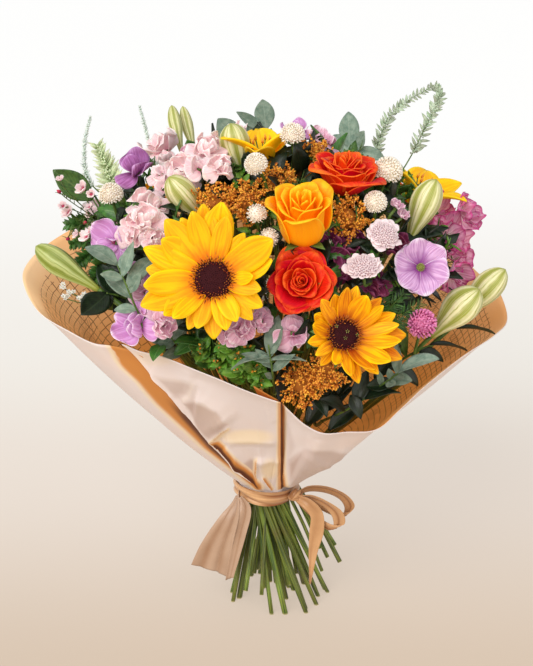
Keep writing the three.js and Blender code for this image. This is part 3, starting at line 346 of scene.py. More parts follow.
def lengthwise(form):
    """Gives a form whose length is along +Z its place along it from 0 to 1."""
    z = form.points[:, 2]
    along = (z - z.min()) / (z.max() - z.min())
    around = np.arctan2(form.points[:, 1], form.points[:, 0]) / TURN + 0.5
    spots = np.stack([around, along], axis=1)[form.corners]
    return Form(form.points, form.corners, form.counts, spots.astype(np.float32))


def spike(sides, waist):
    """A slim pointed form of length 1 along +Z, widest at the height `waist`."""
    bpy.ops.object.select_all(action="DESELECT")
    bpy.ops.mesh.primitive_cone_add(
        vertices=sides, radius1=0.5, radius2=0, depth=1 - waist, end_fill_type="NGON", location=(0, 0, 0),
    )
    made = bpy.context.object
    edit_points()
    bpy.ops.mesh.select_all(action="SELECT")
    bpy.ops.transform.translate(value=(0, 0, (1 + waist) / 2))
    bpy.ops.mesh.select_mode(type="FACE")
    shape = bmesh.from_edit_mesh(made.data)
    for face in shape.faces:
        face.select = face.normal.z < -0.9
    bmesh.update_edit_mesh(made.data)
    bpy.ops.mesh.extrude_region_move(TRANSFORM_OT_translate={"value": (0, 0, -waist)})
    bpy.ops.transform.resize(value=(0.3, 0.3, 1), center_override=(0, 0, 0))
    bpy.ops.object.mode_set(mode="OBJECT")
    return lengthwise(taken(made))


def tube(points, radius, sides=6, flat_foot=False):
    """A round stem through points, closed at both ends. The foot can be cut level with the ground."""
    radii = radius if isinstance(radius, list) else [radius] * len(points)
    rings = []
    side = Vector((1, 0, 0))
    for k, at in enumerate(points):
        before, after = points[max(0, k - 1)], points[min(len(points) - 1, k + 1)]
        ahead = Vector((0, 0, 1)) if flat_foot and k == 0 else (after - before).normalized()
        side = (side - ahead * side.dot(ahead)).normalized()
        other = ahead.cross(side)
        for i in range(sides):
            angle = TURN * i / sides
            rings.append(at + side * radii[k] * math.cos(angle) + other * radii[k] * math.sin(angle))
    corners, counts, spots = [], [], []
    last = len(points) - 1
    for k in range(last):
        for i in range(sides):
            j = (i + 1) % sides
            corners += [k * sides + i, k * sides + j, (k + 1) * sides + j, (k + 1) * sides + i]
            low, high = k / last, (k + 1) / last
            spots += [(i / sides, low), ((i + 1) / sides, low), ((i + 1) / sides, high), (i / sides, high)]
            counts.append(4)
    corners += list(reversed(range(sides)))
    spots += [(0.5, 0)] * sides
    counts.append(sides)
    corners += [last * sides + i for i in range(sides)]
    spots += [(0.5, 1)] * sides
    counts.append(sides)
    return Form(
        np.array(rings, np.float32), np.array(corners, np.int32), np.array(counts, np.int32),
        np.array(spots, np.float32),
    )


class Piece:
    """One piece of the bouquet, put together from copies of modelled forms."""

    def __init__(self):
        self.points, self.corners, self.counts, self.spots = [], [], [], []
        self.tones, self.finishes = [], []
        self.size = 0

    def add(self, form, place=None, tone=0.5, finish=0):
        points = form.points
        if place is not None:
            m = np.array(place, np.float64)
            points = points @ m[:3, :3].T + m[:3, 3]
        self.points.append(points)
        self.corners.append(form.corners + self.size)
        self.counts.append(form.counts)
        self.spots.append(form.spots)
        self.tones.append(np.full(len(points), tone, np.float32))
        self.finishes.append(np.full(len(form.counts), finish, np.int32))
        self.size += len(points)

    def made(self, name, finishes, stands_for, slot):
        """Writes the piece in metres and hangs it on the bouquet's one body."""
        points = (np.concatenate(self.points) + np.array(AXIS)) * MM
        corners = np.concatenate(self.corners)
        counts = np.concatenate(self.counts)
        mesh = bpy.data.meshes.new(name)
        mesh.vertices.add(len(points))
        mesh.vertices.foreach_set("co", points.astype(np.float32).ravel())
        mesh.loops.add(len(corners))
        mesh.loops.foreach_set("vertex_index", corners)
        mesh.polygons.add(len(counts))
        starts = np.concatenate([[0], np.cumsum(counts)[:-1]])
        mesh.polygons.foreach_set("loop_start", starts.astype(np.int32))
        mesh.polygons.foreach_set("material_index", np.concatenate(self.finishes))
        mesh.update(calc_edges=True)
        mesh.uv_layers.new(name="spots").data.foreach_set("uv", np.concatenate(self.spots).ravel())
        mesh.attributes.new("tone", "FLOAT", "POINT").data.foreach_set("value", np.concatenate(self.tones))
        mesh.polygons.foreach_set("use_smooth", np.ones(len(counts), bool))
        mesh.validate()
        for finish in finishes:
            mesh.materials.append(finish)
        piece = bpy.data.objects.new(name, mesh)
        bpy.context.scene.collection.objects.link(piece)
        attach(piece, "root")
        if stands_for:
            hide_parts(*stands_for)


# Finishes

class Signal:
    """A value that a node puts out. Signals add, subtract and multiply as numbers do."""

    def __init__(self, wiring, socket):
        self.wiring, self.socket = wiring, socket

    def __add__(self, other):
        return self.wiring.math("ADD", self, other)

    def __sub__(self, other):
        return self.wiring.math("SUBTRACT", self, other)

    def __mul__(self, other):
        return self.wiring.math("MULTIPLY", self, other)

    def or_more(self, other):
        return self.wiring.math("MAXIMUM", self, other)

    def from_half(self):
        return self.wiring.math("ABSOLUTE", self - 0.5)

    def to_and_fro(self):
        """Rises from 0 to a half and falls again, once for each step of 1."""
        return self.wiring.math("PINGPONG", self, 0.5)


class Wiring:
    """Short ways to add nodes to a material or a group."""

    def __init__(self, tree):
        self.tree = tree

    def put(self, target, value):
        if isinstance(value, Signal):
            self.tree.links.new(value.socket, target)
        else:
            target.default_value = value

    def node(self, kind, inputs=None, **settings):
        made = self.tree.nodes.new(kind)
        for name, value in settings.items():
            setattr(made, name, value)
        for label, value in (inputs or {}).items():
            self.put(made.inputs[label], value)
        return made

    def out(self, output, kind, inputs=None, **settings):
        return Signal(self, self.node(kind, inputs, **settings).outputs[output])

    def math(self, operation, *values):
        return self.out(0, "ShaderNodeMath", dict(enumerate(values)), operation=operation)

    def mix(self, share, a, b, blend="MIX"):
        return self.out(2, "ShaderNodeMix", {0: share, 6: a, 7: b}, data_type="RGBA", blend_type=blend)

    def times(self, colour, other):
        return self.mix(1.0, colour, other, "MULTIPLY")

    def step(self, value, low, high, to_low=0.0, to_high=1.0):
        values = dict(enumerate((value, low, high, to_low, to_high)))
        return self.out(0, "ShaderNodeMapRange", values, interpolation_type="SMOOTHSTEP")

    def noise(self, vector, scale, detail=2.0, roughness=0.5):
        given = {"Vector": vector, "Scale": scale, "Detail": detail, "Roughness": roughness}
        return self.out("Fac", "ShaderNodeTexNoise", given)

    def vector(self, x, y, z):
        return self.out(0, "ShaderNodeCombineXYZ", {0: x, 1: y, 2: z})

    def split(self, vector):
        return [Signal(self, output) for output in self.node("ShaderNodeSeparateXYZ", {0: vector}).outputs]

    def attribute(self, name):
        return self.out("Fac", "ShaderNodeAttribute", attribute_name=name)

    def here(self):
        return self.out("Object", "ShaderNodeTexCoord")

    def surface(self):
        """Where on its petal or leaf a point lies, across and along, and the tone of that copy."""
        across, along, _ = self.split(self.out(0, "ShaderNodeUVMap", uv_map="spots"))
        return across, along, self.attribute("tone")

    def toned(self, colour, tone, variety):
        """Makes each copy a little lighter or darker and warmer or cooler."""
        off = tone - 0.5
        given = {"Hue": off * (variety * 0.06) + 0.5, "Value": off * variety + 1.0, "Color": colour}
        return self.out(0, "ShaderNodeHueSaturation", given)


def colour_group(name, wire, colours, numbers=None):
    """A shared effect: named colours and numbers in, a colour and a height out."""
    tree = bpy.data.node_groups.new(name, "ShaderNodeTree")
    for label in colours:
        tree.interface.new_socket(label, in_out="INPUT", socket_type="NodeSocketColor")
    for label, value in (numbers or {}).items():
        tree.interface.new_socket(label, in_out="INPUT", socket_type="NodeSocketFloat").default_value = value
    tree.interface.new_socket("Colour", in_out="OUTPUT", socket_type="NodeSocketColor")
    tree.interface.new_socket("Height", in_out="OUTPUT", socket_type="NodeSocketFloat")
    w = Wiring(tree)
    given = {output.name: Signal(w, output) for output in w.node("NodeGroupInput").outputs}
    for target, value in zip(w.node("NodeGroupOutput").inputs, wire(w, given)):
        w.put(target, value)
    return tree


def wire_petal(w, given):
    across, along, tone = w.surface()
    offset = tone * 17.0
    veins = w.noise(w.vector(across * given["Veins"], along * 1.4, offset), 1.0)
    blotch = w.noise(w.vector(across, along, offset), 3.0)
    place = (blotch - 0.5) * 0.35 + along
    colour = w.mix(w.step(place, 0.02, given["Heart reach"]), given["Heart"], given["Body"])
    rim = place.or_more(across.from_half() * 2.0)
    colour = w.mix(w.step(rim, given["Edge reach"], 1.02), colour, given["Edge"])
    stripe = w.step(veins, 0.38, 0.62)
    colour = w.mix(stripe * given["Vein share"], colour, w.times(colour, given["Vein"]))
    return w.toned(colour, tone, given["Variety"]), stripe


def wire_leaf(w, given):
    across, along, tone = w.surface()
    side = across.from_half()
    midrib = w.step(side, 0.012, 0.05, 1.0, 0.0)
    wave = ((side * -0.9 + along) * given["Veins"]).to_and_fro()
    lines = midrib.or_more(w.step(wave, 0.02, 0.12, 0.6, 0.0))
    mottle = w.noise(w.here(), 190.0, 3.0)
    colour = w.mix(w.step(mottle, 0.3, 0.7), given["Blade"], given["Shade"])
    colour = w.mix(lines * given["Vein share"], colour, given["Vein"])
    return w.toned(colour, tone, given["Variety"]), mottle * 0.4 - lines


def wire_flecks(w, given):
    _, along, tone = w.surface()
    grain = w.noise(w.here(), given["Grain"], 3.0, 0.6)
    colour = w.mix(w.step((grain - 0.5) * 0.9 + along, 0.1, 0.8), given["Root"], given["Tip"])
    return w.toned(colour, tone, given["Variety"]), grain


def wire_bud(w, given):
    """Cream between green ribs. Tone above 0.5 makes the whole bud greener."""
    across, along, tone = w.surface()
    waver = (w.noise(w.here(), 90.0) - 0.5) * 0.3
    wave = (across * 6.0 + waver).to_and_fro()
    rib = w.step(wave, 0.16, 0.36)
    fine = w.step(w.noise(w.vector(across * 70.0, along, 0.0), 1.0), 0.4, 0.65, 0.0, 0.45)
    seam = w.step(wave, 0.04, 0.0, 0.0, 0.6)
    share = w.math("MINIMUM", rib * 0.6 + fine + seam, 1.0)
    colour = w.mix(share, given["Body"], given["Rib"])
    greener = w.times(colour, (0.42, 0.56, 0.16, 1))
    colour = w.mix(w.step(tone, 0.5, 1.0, 0.0, 0.7), colour, greener)
    colour = w.mix(w.step(along, 0.42, 0.02), colour, given["Rib"])
    colour = w.mix(w.step(along, 0.84, 1.0, 0.0, 0.8), colour, given["Rib"])
    deep = w.times(colour, (0.72, 0.78, 0.45, 1))
    return w.mix(rib * w.step(wave, 0.36, 0.5, 0.0, 0.6), colour, deep), wave * -1.0


def wire_stem(w, given):
    across, along, tone = w.surface()
    streak = w.noise(w.vector(across * 9.0, along * 5.0, tone * 9.0), 1.0, 4.0)
    blotch = w.noise(w.here(), 40.0, 3.0)
    colour = w.mix(w.step(streak, 0.3, 0.7), given["Light"], given["Dark"])
    colour = w.mix(w.step(blotch, 0.52, 0.75, 0.0, 0.6), colour, given["Brown"])
    colour = w.toned(colour, tone, 0.6)
    return w.mix(w.step(along, 0.006, 0.001), colour, given["Cut"]), streak


def wire_paper(w, given):
    """Kraft paper with a broken grid, and painted light and shade: tone above 0.5 paints a glow, then amber,
    then the dark shade of a deep fold, and tone below it paints a highlight on an edge.
    """
    across, along, tone = w.surface()
    cloud = w.noise(w.here(), 9.0, 3.0)
    fibre = w.noise(w.here(), 700.0, 4.0, 0.7)
    colour = w.mix(w.step(cloud, 0.42, 0.7), given["Base"], given["Patch"])
    colour = w.mix(fibre * 0.1, colour, given["Ink"])
    # With Depth at 1, as on the inside, the paper is painted deeper amber low down, a painted shade.
    low = w.step(w.split(w.here())[2], 0.325, 0.24)
    colour = w.mix(low * given["Depth"], colour, given["Amber"])
    waver = (w.noise(w.here(), 22.0) - 0.5) * 1.1
    upright, level = (
        w.step((place * count + waver).to_and_fro(), 0.03, 0.09, 1.0, 0.0)
        for place, count in ((across, given["Columns"]), (along, given["Rows"]))
    )
    hatch = w.step((along * 150.0 + across * 260.0).to_and_fro(), 0.1, 0.16, 1.0, 0.0)
    sprigs = hatch * w.step(w.noise(w.here(), 26.0, 0.0), 0.63, 0.67)
    broken = w.step(w.noise(w.here(), 120.0, 2.0), 0.3, 0.46)
    inside = w.step(along, 0.93, 0.94, 1.0, 0.0) * w.step(across, 0.94, 0.95, 1.0, 0.0)
    printed = upright.or_more(level).or_more(sprigs) * broken * (inside * given["Print"])
    colour = w.mix(printed, colour, given["Ink"])
    # Painted shade on the facets of the front panel.
    colour = w.mix(w.attribute("dusk") * 0.8, colour, given["Dusk"])
    # Painted light and shade from the tone: a glow, amber, the shade of a fold and an edge's highlight.
    bounds = (("Glow", 0.5, 0.64), ("Amber", 0.62, 0.82), ("Fold", 0.8, 1.0), ("Lip", 0.5, 0.1))
    for label, low, high in bounds:
        colour = w.mix(w.step(tone, low, high), colour, given[label])
    return colour, fibre


def wire_satin(w, given):
    across, along, tone = w.surface()
    weave = w.noise(w.vector(across * 60.0, along * 3.0, 0.0), 1.0, 2.0)
    cloud = w.noise(w.here(), 60.0)
    # Tone mixes light into dark satin; on the strips and the band it carries painted shade.
    colour = w.mix(tone + (cloud * 0.4 - 0.2), given["Light"], given["Dark"])
    return w.mix(weave * 0.25, colour, given["Dark"]), weave


# The floor is painted lighter the further back it lies, painted light in place of the fall of the studio
# light.
def wire_floor(w, given):
    depth = w.split(w.here())[1]
    colour = w.mix(w.step(depth, -0.2, 0.26), given["Near"], given["Middle"])
    colour = w.mix(w.step(depth, 0.2, 0.6), colour, given["Back"])
    return w.mix(w.step(depth, 0.5, 1.3), colour, given["Far"]), depth


PETAL_GROUP = colour_group(
    "petal colour", wire_petal, ("Heart", "Body", "Edge", "Vein"),
    {"Heart reach": 0.5, "Edge reach": 0.8, "Veins": 14.0, "Vein share": 0.5, "Variety": 0.3},
)
LEAF_GROUP = colour_group(
    "leaf colour", wire_leaf, ("Blade", "Shade", "Vein"), {"Veins": 9.0, "Vein share": 0.4, "Variety": 0.4},
)
FLECK_GROUP = colour_group("fleck colour", wire_flecks, ("Root", "Tip"), {"Grain": 700.0, "Variety": 0.5})
BUD_GROUP = colour_group("lily bud stripes", wire_bud, ("Body", "Rib"))
STEM_GROUP = colour_group("stem bark", wire_stem, ("Light", "Dark", "Brown", "Cut"))
PAPER_GROUP = colour_group(
    "printed paper", wire_paper, ("Base", "Patch", "Ink", "Lip", "Glow", "Amber", "Fold", "Dusk"),
    {"Columns": 50.0, "Rows": 18.0, "Print": 0.0, "Depth": 0.0},
)
SATIN_GROUP = colour_group("satin", wire_satin, ("Light", "Dark"))
FLOOR_GROUP = colour_group("pale floor", wire_floor, ("Near", "Middle", "Back", "Far"))


def linear(red, green, blue):
    """A colour as the eye names it, 0 to 255, in the light's own scale."""
    def lit(value):
        value /= 255
        return value / 12.92 if value <= 0.04045 else ((value + 0.055) / 1.055) ** 2.4

    return lit(red), lit(green), lit(blue), 1.0


def finish(name, group, colours, numbers=None, roughness=0.5, soft=0.12, bump=0.3, sheen=0.0, coat=0.0,
           depth=0.0006, specular=0.4, glow=0.0, shade=1.0):
    """A material whose colour and relief come from a shared effect. `glow` makes it give off light in its own
    colour, painted light, and `shade` then darkens its base colour.
    """
    material = bpy.data.materials.new(name)
    material.use_nodes = True
    w = Wiring(material.node_tree)
    shader = material.node_tree.nodes["Principled BSDF"]
    effect = w.node("ShaderNodeGroup", node_tree=group)
    for target, colour in zip(effect.inputs, colours):
        target.default_value = linear(*colour)
    for label, value in (numbers or {}).items():
        effect.inputs[label.replace("_", " ").capitalize()].default_value = value
    colour = Signal(w, effect.outputs["Colour"])
    if glow:
        w.put(shader.inputs["Emission Color"], colour)
        w.put(shader.inputs["Emission Strength"], glow)
        colour = w.times(colour, (shade, shade, shade, 1))
    height = Signal(w, effect.outputs["Height"])
    for label, value in {
        "Base Color": colour,
        "Normal": w.out(0, "ShaderNodeBump", {"Strength": bump, "Distance": depth, "Height": height}),
        "Roughness": roughness, "Subsurface Weight": soft, "Subsurface Scale": 0.004,
        "Subsurface Radius": (1.0, 0.6, 0.4), "Sheen Weight": sheen, "Coat Weight": coat,
        "Specular IOR Level": specular,
    }.items():
        w.put(shader.inputs[label], value)
    return material


# Petals give off a little light in their own colour, painted light that keeps them bright in shade.
def petal(name, *colours, **numbers):
    return finish(name, PETAL_GROUP, colours, numbers, roughness=0.55, specular=0.22, glow=0.1)


def leaf(name, *colours, roughness=0.45, coat=0.0, sheen=0.0, **numbers):
    return finish(name, LEAF_GROUP, colours, numbers, roughness, soft=0.05, coat=coat, sheen=sheen)


# Florets and buds give off a little light in their own colour, painted light.
def flecked(name, *colours, **numbers):
    return finish(name, FLECK_GROUP, colours, numbers, roughness=0.8, specular=0.2, glow=0.1)


# Petals: heart, body, edge and vein
GOLD = petal(
    "sunflower ray gold", (238, 134, 0), (253, 190, 0), (255, 212, 6), (222, 160, 100),
    veins=9.0, vein_share=0.4, variety=0.22,
)
AMBER_RAY = petal(
    "sunflower ray amber", (190, 88, 2), (246, 164, 0), (255, 196, 0), (190, 120, 60),
    heart_reach=0.6, veins=9.0, vein_share=0.55, variety=0.5,
)
AMBER = petal(
    "amber rose petal", (250, 122, 0), (255, 162, 2), (255, 194, 26), (245, 205, 170),
    edge_reach=0.88, veins=16.0, vein_share=0.2, variety=0.14,
)
SCARLET = petal(
    "scarlet rose petal", (160, 8, 2), (222, 30, 8), (250, 96, 30), (190, 110, 100),
    heart_reach=0.7, edge_reach=0.86, veins=18.0, vein_share=0.3, variety=0.35,
)
RED = petal(
    "red rose petal", (150, 10, 2), (228, 36, 6), (255, 112, 30), (190, 110, 90),
    heart_reach=0.7, edge_reach=0.84, veins=18.0, vein_share=0.35, variety=0.4,
)
PALE_PINK = petal(
    "pale pink stock petal", (222, 150, 170), (244, 212, 214), (255, 244, 238), (228, 186, 192),
    heart_reach=0.4, veins=10.0, vein_share=0.35, variety=0.2,
)
PINK_LILAC = petal(
    "pink lilac petal", (190, 112, 142), (226, 180, 198), (244, 222, 228), (206, 150, 176),
    heart_reach=0.4, veins=12.0, variety=0.35,
)
MAUVE = petal(
    "mauve sweet pea petal", (160, 84, 150), (214, 160, 210), (244, 222, 240), (204, 140, 190),
    heart_reach=0.4, edge_reach=0.86, variety=0.25,
)
PURPLE = petal(
    "purple lisianthus petal", (96, 26, 84), (176, 110, 170), (208, 156, 208), (170, 100, 150),
    heart_reach=0.6, veins=12.0,
)
MAGENTA = petal(
    "magenta gladiolus petal", (246, 228, 224), (226, 164, 192), (204, 70, 146), (196, 110, 150),
    heart_reach=0.7, edge_reach=0.74, veins=10.0, vein_share=0.6,
)
PLUM = petal(
    "plum petal", (70, 16, 40), (126, 46, 84), (160, 84, 120), (150, 100, 120), veins=12.0, variety=0.4,
)
VIOLET = petal(
    "mallow petal", (140, 56, 140), (220, 176, 214), (244, 228, 238), (184, 124, 184),
    heart_reach=0.6, veins=26.0, variety=0.08,
)
LILY = petal(
    "yellow lily tepal", (230, 140, 4), (254, 196, 6), (255, 218, 30), (230, 180, 120),
    heart_reach=0.4, veins=10.0, vein_share=0.35, variety=0.2,
)
BLUSH = petal(
    "waxflower petal", (170, 60, 90), (238, 204, 204), (250, 232, 228), (200, 190, 190),
    veins=6.0, vein_share=0.3, variety=0.4,
)
WHITE = petal(
    "white filler petal", (220, 215, 170), (245, 243, 232), (250, 250, 245), (200, 190, 190), variety=0.15,
)

# Leaves: blade, shade and vein
EUCALYPTUS = leaf(
    "eucalyptus leaf", (142, 162, 142), (104, 130, 112), (176, 190, 168), roughness=0.62, sheen=0.15,
    veins=8.0, vein_share=0.3, variety=0.45,
)
LEAF = leaf("green leaf", (76, 124, 46), (48, 90, 32), (136, 166, 92), roughness=0.36, coat=0.15, variety=0.5)
BRIGHT_LEAF = leaf(
    "bright sprig leaf", (120, 168, 52), (72, 128, 36), (176, 204, 104), roughness=0.4,
    veins=7.0, variety=0.6,
)
# Near-black: the colour of the dark leaves, and of the dark layer inside the dome that stands in for shade.
DARK_LEAF_AND_SHADE = leaf(
    "dark leaf", (30, 46, 24), (16, 28, 14), (66, 84, 48), roughness=0.4, coat=0.08,
    veins=10.0, vein_share=0.3, variety=0.6,
)
FERN = leaf(
    "plume leaflet", (190, 202, 176), (146, 166, 132), (228, 232, 218), roughness=0.6, veins=4.0, variety=0.6,
)
SEPAL = leaf("sepal and stalk", (96, 124, 48), (66, 96, 34), (130, 150, 84), veins=3.0)

# Buds and florets: root and tip
DISC_HEART = flecked("sunflower disc heart", (14, 4, 4), (64, 16, 16), variety=0.7, grain=900.0)
DISC_FRINGE = flecked("sunflower disc fringe", (56, 12, 8), (176, 88, 40), variety=0.8, grain=900.0)
CREAM = flecked("cream button floret", (222, 206, 180), (248, 238, 222), variety=0.2)
LILAC = flecked("scabious floret", (206, 172, 176), (240, 222, 222), variety=0.22)
GLOBE = flecked("pink globe bract", (170, 54, 116), (234, 140, 186), variety=0.4)
RUST = flecked("rust bud", (196, 108, 26), (240, 166, 66), variety=0.5)
RUST_CORE = flecked("rust core", (104, 58, 16), (158, 92, 30), variety=0.4)
SILVER = flecked("silver spike bud", (150, 168, 150), (226, 234, 224), variety=0.3)
PLUME = flecked("green plume bud", (140, 162, 104), (220, 228, 186), variety=0.3)
OLIVE = flecked("olive eye", (70, 80, 30), (168, 170, 90), variety=0.4)
RUBY = flecked("red bud", (110, 14, 34), (196, 60, 84), variety=0.4)
MAGENTA_HEART = flecked("magenta heart", (120, 30, 80), (200, 80, 140), variety=0.5)
STRING = flecked("string", (120, 96, 60), (170, 140, 96), variety=0.2)

STRIPED_BUD = finish("lily bud", BUD_GROUP, [(242, 236, 186), (162, 166, 56)], roughness=0.4, soft=0.1)
STEM = finish(
    "cut stem", STEM_GROUP, [(134, 148, 58), (44, 68, 24), (112, 98, 44), (206, 200, 150)], coat=0.1,
)

# Painted light and shade on the paper: a glow, amber, the shade of a fold and the shade of a facet.
PAINTED_LIGHT_AND_SHADE = [(246, 224, 192), (212, 138, 64), (88, 38, 10), (182, 150, 134)]
PAPER_LOOK = {"roughness": 0.6, "soft": 0.03, "bump": 0.12, "depth": 0.0002}
# Each paper's own colours are base, patch and ink; its fourth colour is a painted highlight for its edges.
PAPER_OUTSIDE = finish(
    "paper outside", PAPER_GROUP,
    [(238, 225, 221), (240, 221, 212), (206, 180, 165), (253, 246, 242), *PAINTED_LIGHT_AND_SHADE], **PAPER_LOOK,
)
# The inside gives off light in its own colour, painted light in place of light that comes through the paper.
PAPER_INSIDE = finish(
    "paper inside", PAPER_GROUP,
    [(236, 184, 128), (222, 158, 96), (104, 62, 30), (255, 226, 186), *PAINTED_LIGHT_AND_SHADE],
    {"columns": 150.0, "rows": 42.0, "print": 0.8, "depth": 1.0}, glow=0.34, **PAPER_LOOK,
)

SATIN_LOOK = {"roughness": 0.34, "soft": 0.0, "bump": 0.1, "sheen": 0.2, "depth": 0.0002}
SATIN = finish("satin ribbon", SATIN_GROUP, [(232, 184, 132), (142, 84, 38)], **SATIN_LOOK)
PALE_SATIN = finish("pale satin ribbon", SATIN_GROUP, [(204, 174, 148), (152, 112, 80)], **SATIN_LOOK)

# The floor gives off light in its own colour, so that shadows on it stay faint.
FLOOR = finish(
    "floor", FLOOR_GROUP, [(216, 197, 177), (234, 223, 212), (241, 237, 230), (253, 253, 252)],
    roughness=0.8, soft=0.0, bump=0.0, specular=0.0, glow=0.7, shade=0.3,
)


# Forms that many flowers share

def bent(form, bends):
    """The form bent in several ways, each given as (curl, twist)."""
    return [curled(twisted(form, twist), turn) for turn, twist in bends]


def frilled(form, frills):
    """The form with several frills, each given as (curl, twist, depth, waves, phase)."""
    return [ruffled(twisted(curled(form, turn), twist), *frill) for turn, twist, *frill in frills]


RAY = blade([0.55, 0.82, 0.96, 1, 0.96, 0.74, 0.12], width=0.41, columns=6, grooves=0.022, thickness=0.014)
RAYS = [
    twisted(curled(RAY, turn), twist)
    for turn, twist in ((0.5, 0.15), (0.2, -0.2), (-0.25, 0.1), (-0.05, -0.1))
]
ROSE_PETAL = blade([0.28, 0.62, 0.9, 1, 1, 0.92, 0.66, 0.3], columns=5)
ROSE_POINT = blade([0.28, 0.62, 0.9, 1, 0.96, 0.8, 0.5, 0.1], columns=5)
FAN = blade([0.16, 0.58, 0.98, 1.05, 0.62], columns=6, cup=0.02, thickness=0.018)
FANS = frilled(FAN, [(0.5, 0, 0.1, 4, 0), (-0.1, 0, 0.13, 5, 2), (0.3, 0, 0.15, 3, 4), (-0.5, 0, 0.1, 6, 1)])
CRUMPLES = frilled(
    FAN, [(0.9, 0.3, 0.1, 3, 0), (-0.5, -0.4, 0.12, 3, 2), (1.3, 0.2, 0.1, 4, 4), (-1.0, 0.4, 0.11, 3, 1)],
)
RIM_FAN = blade([0.16, 0.6, 1, 1.05, 0.62], columns=6, cup=0.02, levels=0, thickness=0.03)
RIM_FAN = ruffled(RIM_FAN, 0.07, 1.5, 0.4)
PEA = blade([0.2, 0.6, 0.95, 1.12, 1.12, 0.96, 0.6], columns=6, cup=0.03, thickness=0.016)
PEAS = frilled(PEA, [(0.7, 0, 0.08, 2, 0), (-0.5, 0, 0.1, 2, 2), (1.1, 0, 0.06, 3, 4), (-0.9, 0, 0.09, 2, 1)])
BROAD_PETAL = blade([0.12, 0.5, 0.88, 1.12, 1.2, 1.08, 0.66], columns=6, cup=-0.02, thickness=0.014)
TEPAL = blade([0.3, 0.66, 0.96, 1, 0.86, 0.56, 0.06], width=0.44, cup=0.09)
TEPALS = [curled(TEPAL, turn) for turn in (-1.1, -0.8, -0.5)]
SMALL_PETAL = blade([0.42, 1, 0.2], width=0.5, columns=2, cup=0.08, levels=0, thickness=0.08)
FLORET_PETAL = curled(blade([0.42, 1, 0.5], width=0.62, columns=2, cup=0.1, levels=0, thickness=0.1), 0.6)
OVALS = bent(
    blade([0.14, 0.62, 0.95, 1, 0.86, 0.54, 0.05], cup=0.07, thickness=0.016),
    [(-0.5, 0.2), (-0.9, -0.2), (0.25, 0.1)],
)
LANCES = bent(
    blade([0.12, 0.6, 1, 0.9, 0.66, 0.36, 0.03], cup=0.1, thickness=0.014),
    [(-0.6, 0.25), (-1.0, -0.25), (0.2, 0.15)],
)
PLAIN_LEAVES = bent(
    blade([0.14, 0.82, 1, 0.6, 0.05], columns=2, cup=0.07, levels=0, thickness=0.03),
    [(-0.5, 0.2), (-0.9, -0.2), (0.25, 0.1)],
)
LEAFLET = blade([0.2, 1, 0.72, 0.06], columns=2, cup=0.06, levels=0, thickness=0.035)
LEAFLET_OVAL = blade([0.3, 1, 0.76, 0.06], columns=2, cup=0.08, levels=0, thickness=0.05)
BEAD = bead(1)
BUD = bead(1.9)
SPIKE = spike(4, 0.35)
SPIKE_FIVE = spike(5, 0.3)
CALYX = ball(12, 6, [(0, 0), (0.55, 0.1), (0.9, 0.45), (1, 0.8), (0.7, 1), (0, 0.9)])
MOUND = ball(24, 8, [(0, -0.6), (0.7, -0.5), (1, -0.2), (1, 0.1), (0.86, 0.5), (0.55, 0.85), (0, 1)])


def scaled(x, y=None, z=None):
    return Matrix.Diagonal((x, x if y is None else y, x if z is None else z, 1))


def dome_point(i, count, reach):
    """Directions spread evenly over a dome, from its top to the angle `reach` from it."""
    z = 1 - (1 - math.cos(reach)) * (i + 0.5) / count
    angle = i * GOLDEN_ANGLE
    r = math.sqrt(max(0, 1 - z * z))
    return Vector((r * math.cos(angle), r * math.sin(angle), z))


def scattered(draw, reach=1):
    """A random offset of up to `reach` along each axis."""
    return Vector([draw.uniform(-reach, reach) for _ in range(3)])


def any_way(draw):
    return Vector([draw.gauss(0, 1) for _ in range(3)])


def on_ball(direction, radius, spin=0.0):
    """A place on a ball about the origin with +Z outwards."""
    return placed(direction * radius, direction, spin)


# Flowers. Each one is made about +Z with its seat at the origin, and put in its place in a piece.
# In a flower piece finish 0 is the petals', 1 the green of stalks and sepals, and 2 and 3 what else it needs.
# In a sunflower's disc 0 is its heart and 1 its fringe.

MAIN, GREEN, SECOND, THIRD = 0, 1, 2, 3
DISC_FLORETS = 330
MALLOW_ANTHERS = 46
SCABIOUS_FLORETS = 160
FLUFF_BRANCHES = 42
FLUFF_BUDS = 18
CUP_STEPS = 80


def maker(build):
    """Lets a flower be described now and be put in its place in a piece later."""
    def described(*sizes, **more):
        return lambda piece, place: build(piece, place, *sizes, **more)

    return described


def sepals(piece, place, radius, height, count, length, lean):
    for k in range(count):
        spot = petal_place(TURN * k / count, radius, height, lean, length, 0.36)
        piece.add(LEAFLET, place @ spot, 0.3 + 0.4 * (k % 2), GREEN)


def cupped(form, root, length, base, body, lip, half, ripple, phase):
    """Wraps a petal about the axis of a rose: its lean from the axis goes from `base` to `body`, and its
    lip rolls out by `lip`. `half` is the half angle that it spans."""

    def smooth(t):
        t = np.clip(t, 0, 1)
        return t * t * (3 - 2 * t)

    def wrap(x, y, z, u, v):
        s = np.linspace(0, 1, CUP_STEPS)
        lean = base + (body - base) * smooth(s / 0.42) + lip * smooth((s - 0.66) / 0.34) ** 1.5
        r = root + length * np.cumsum(np.sin(lean)) / CUP_STEPS
        h = length * np.cumsum(np.cos(lean)) / CUP_STEPS
        y = np.clip(y, 0, 1)
        side = np.abs(2 * x)
        here = np.interp(y, s, lean)
        radius = np.interp(y, s, r) - z * length * np.cos(here) + 0.09 * length * side ** 3 * y * max(0, lip)
        height = np.interp(y, s, h) + z * length * np.sin(here)
        height = height + ripple * length * y ** 3 * np.sin(7 * x + phase) - 0.1 * length * side ** 4 * y ** 2
        angle = 2 * x * half
        return radius * np.sin(angle), radius * np.cos(angle), height

    return form.shaped(wrap)


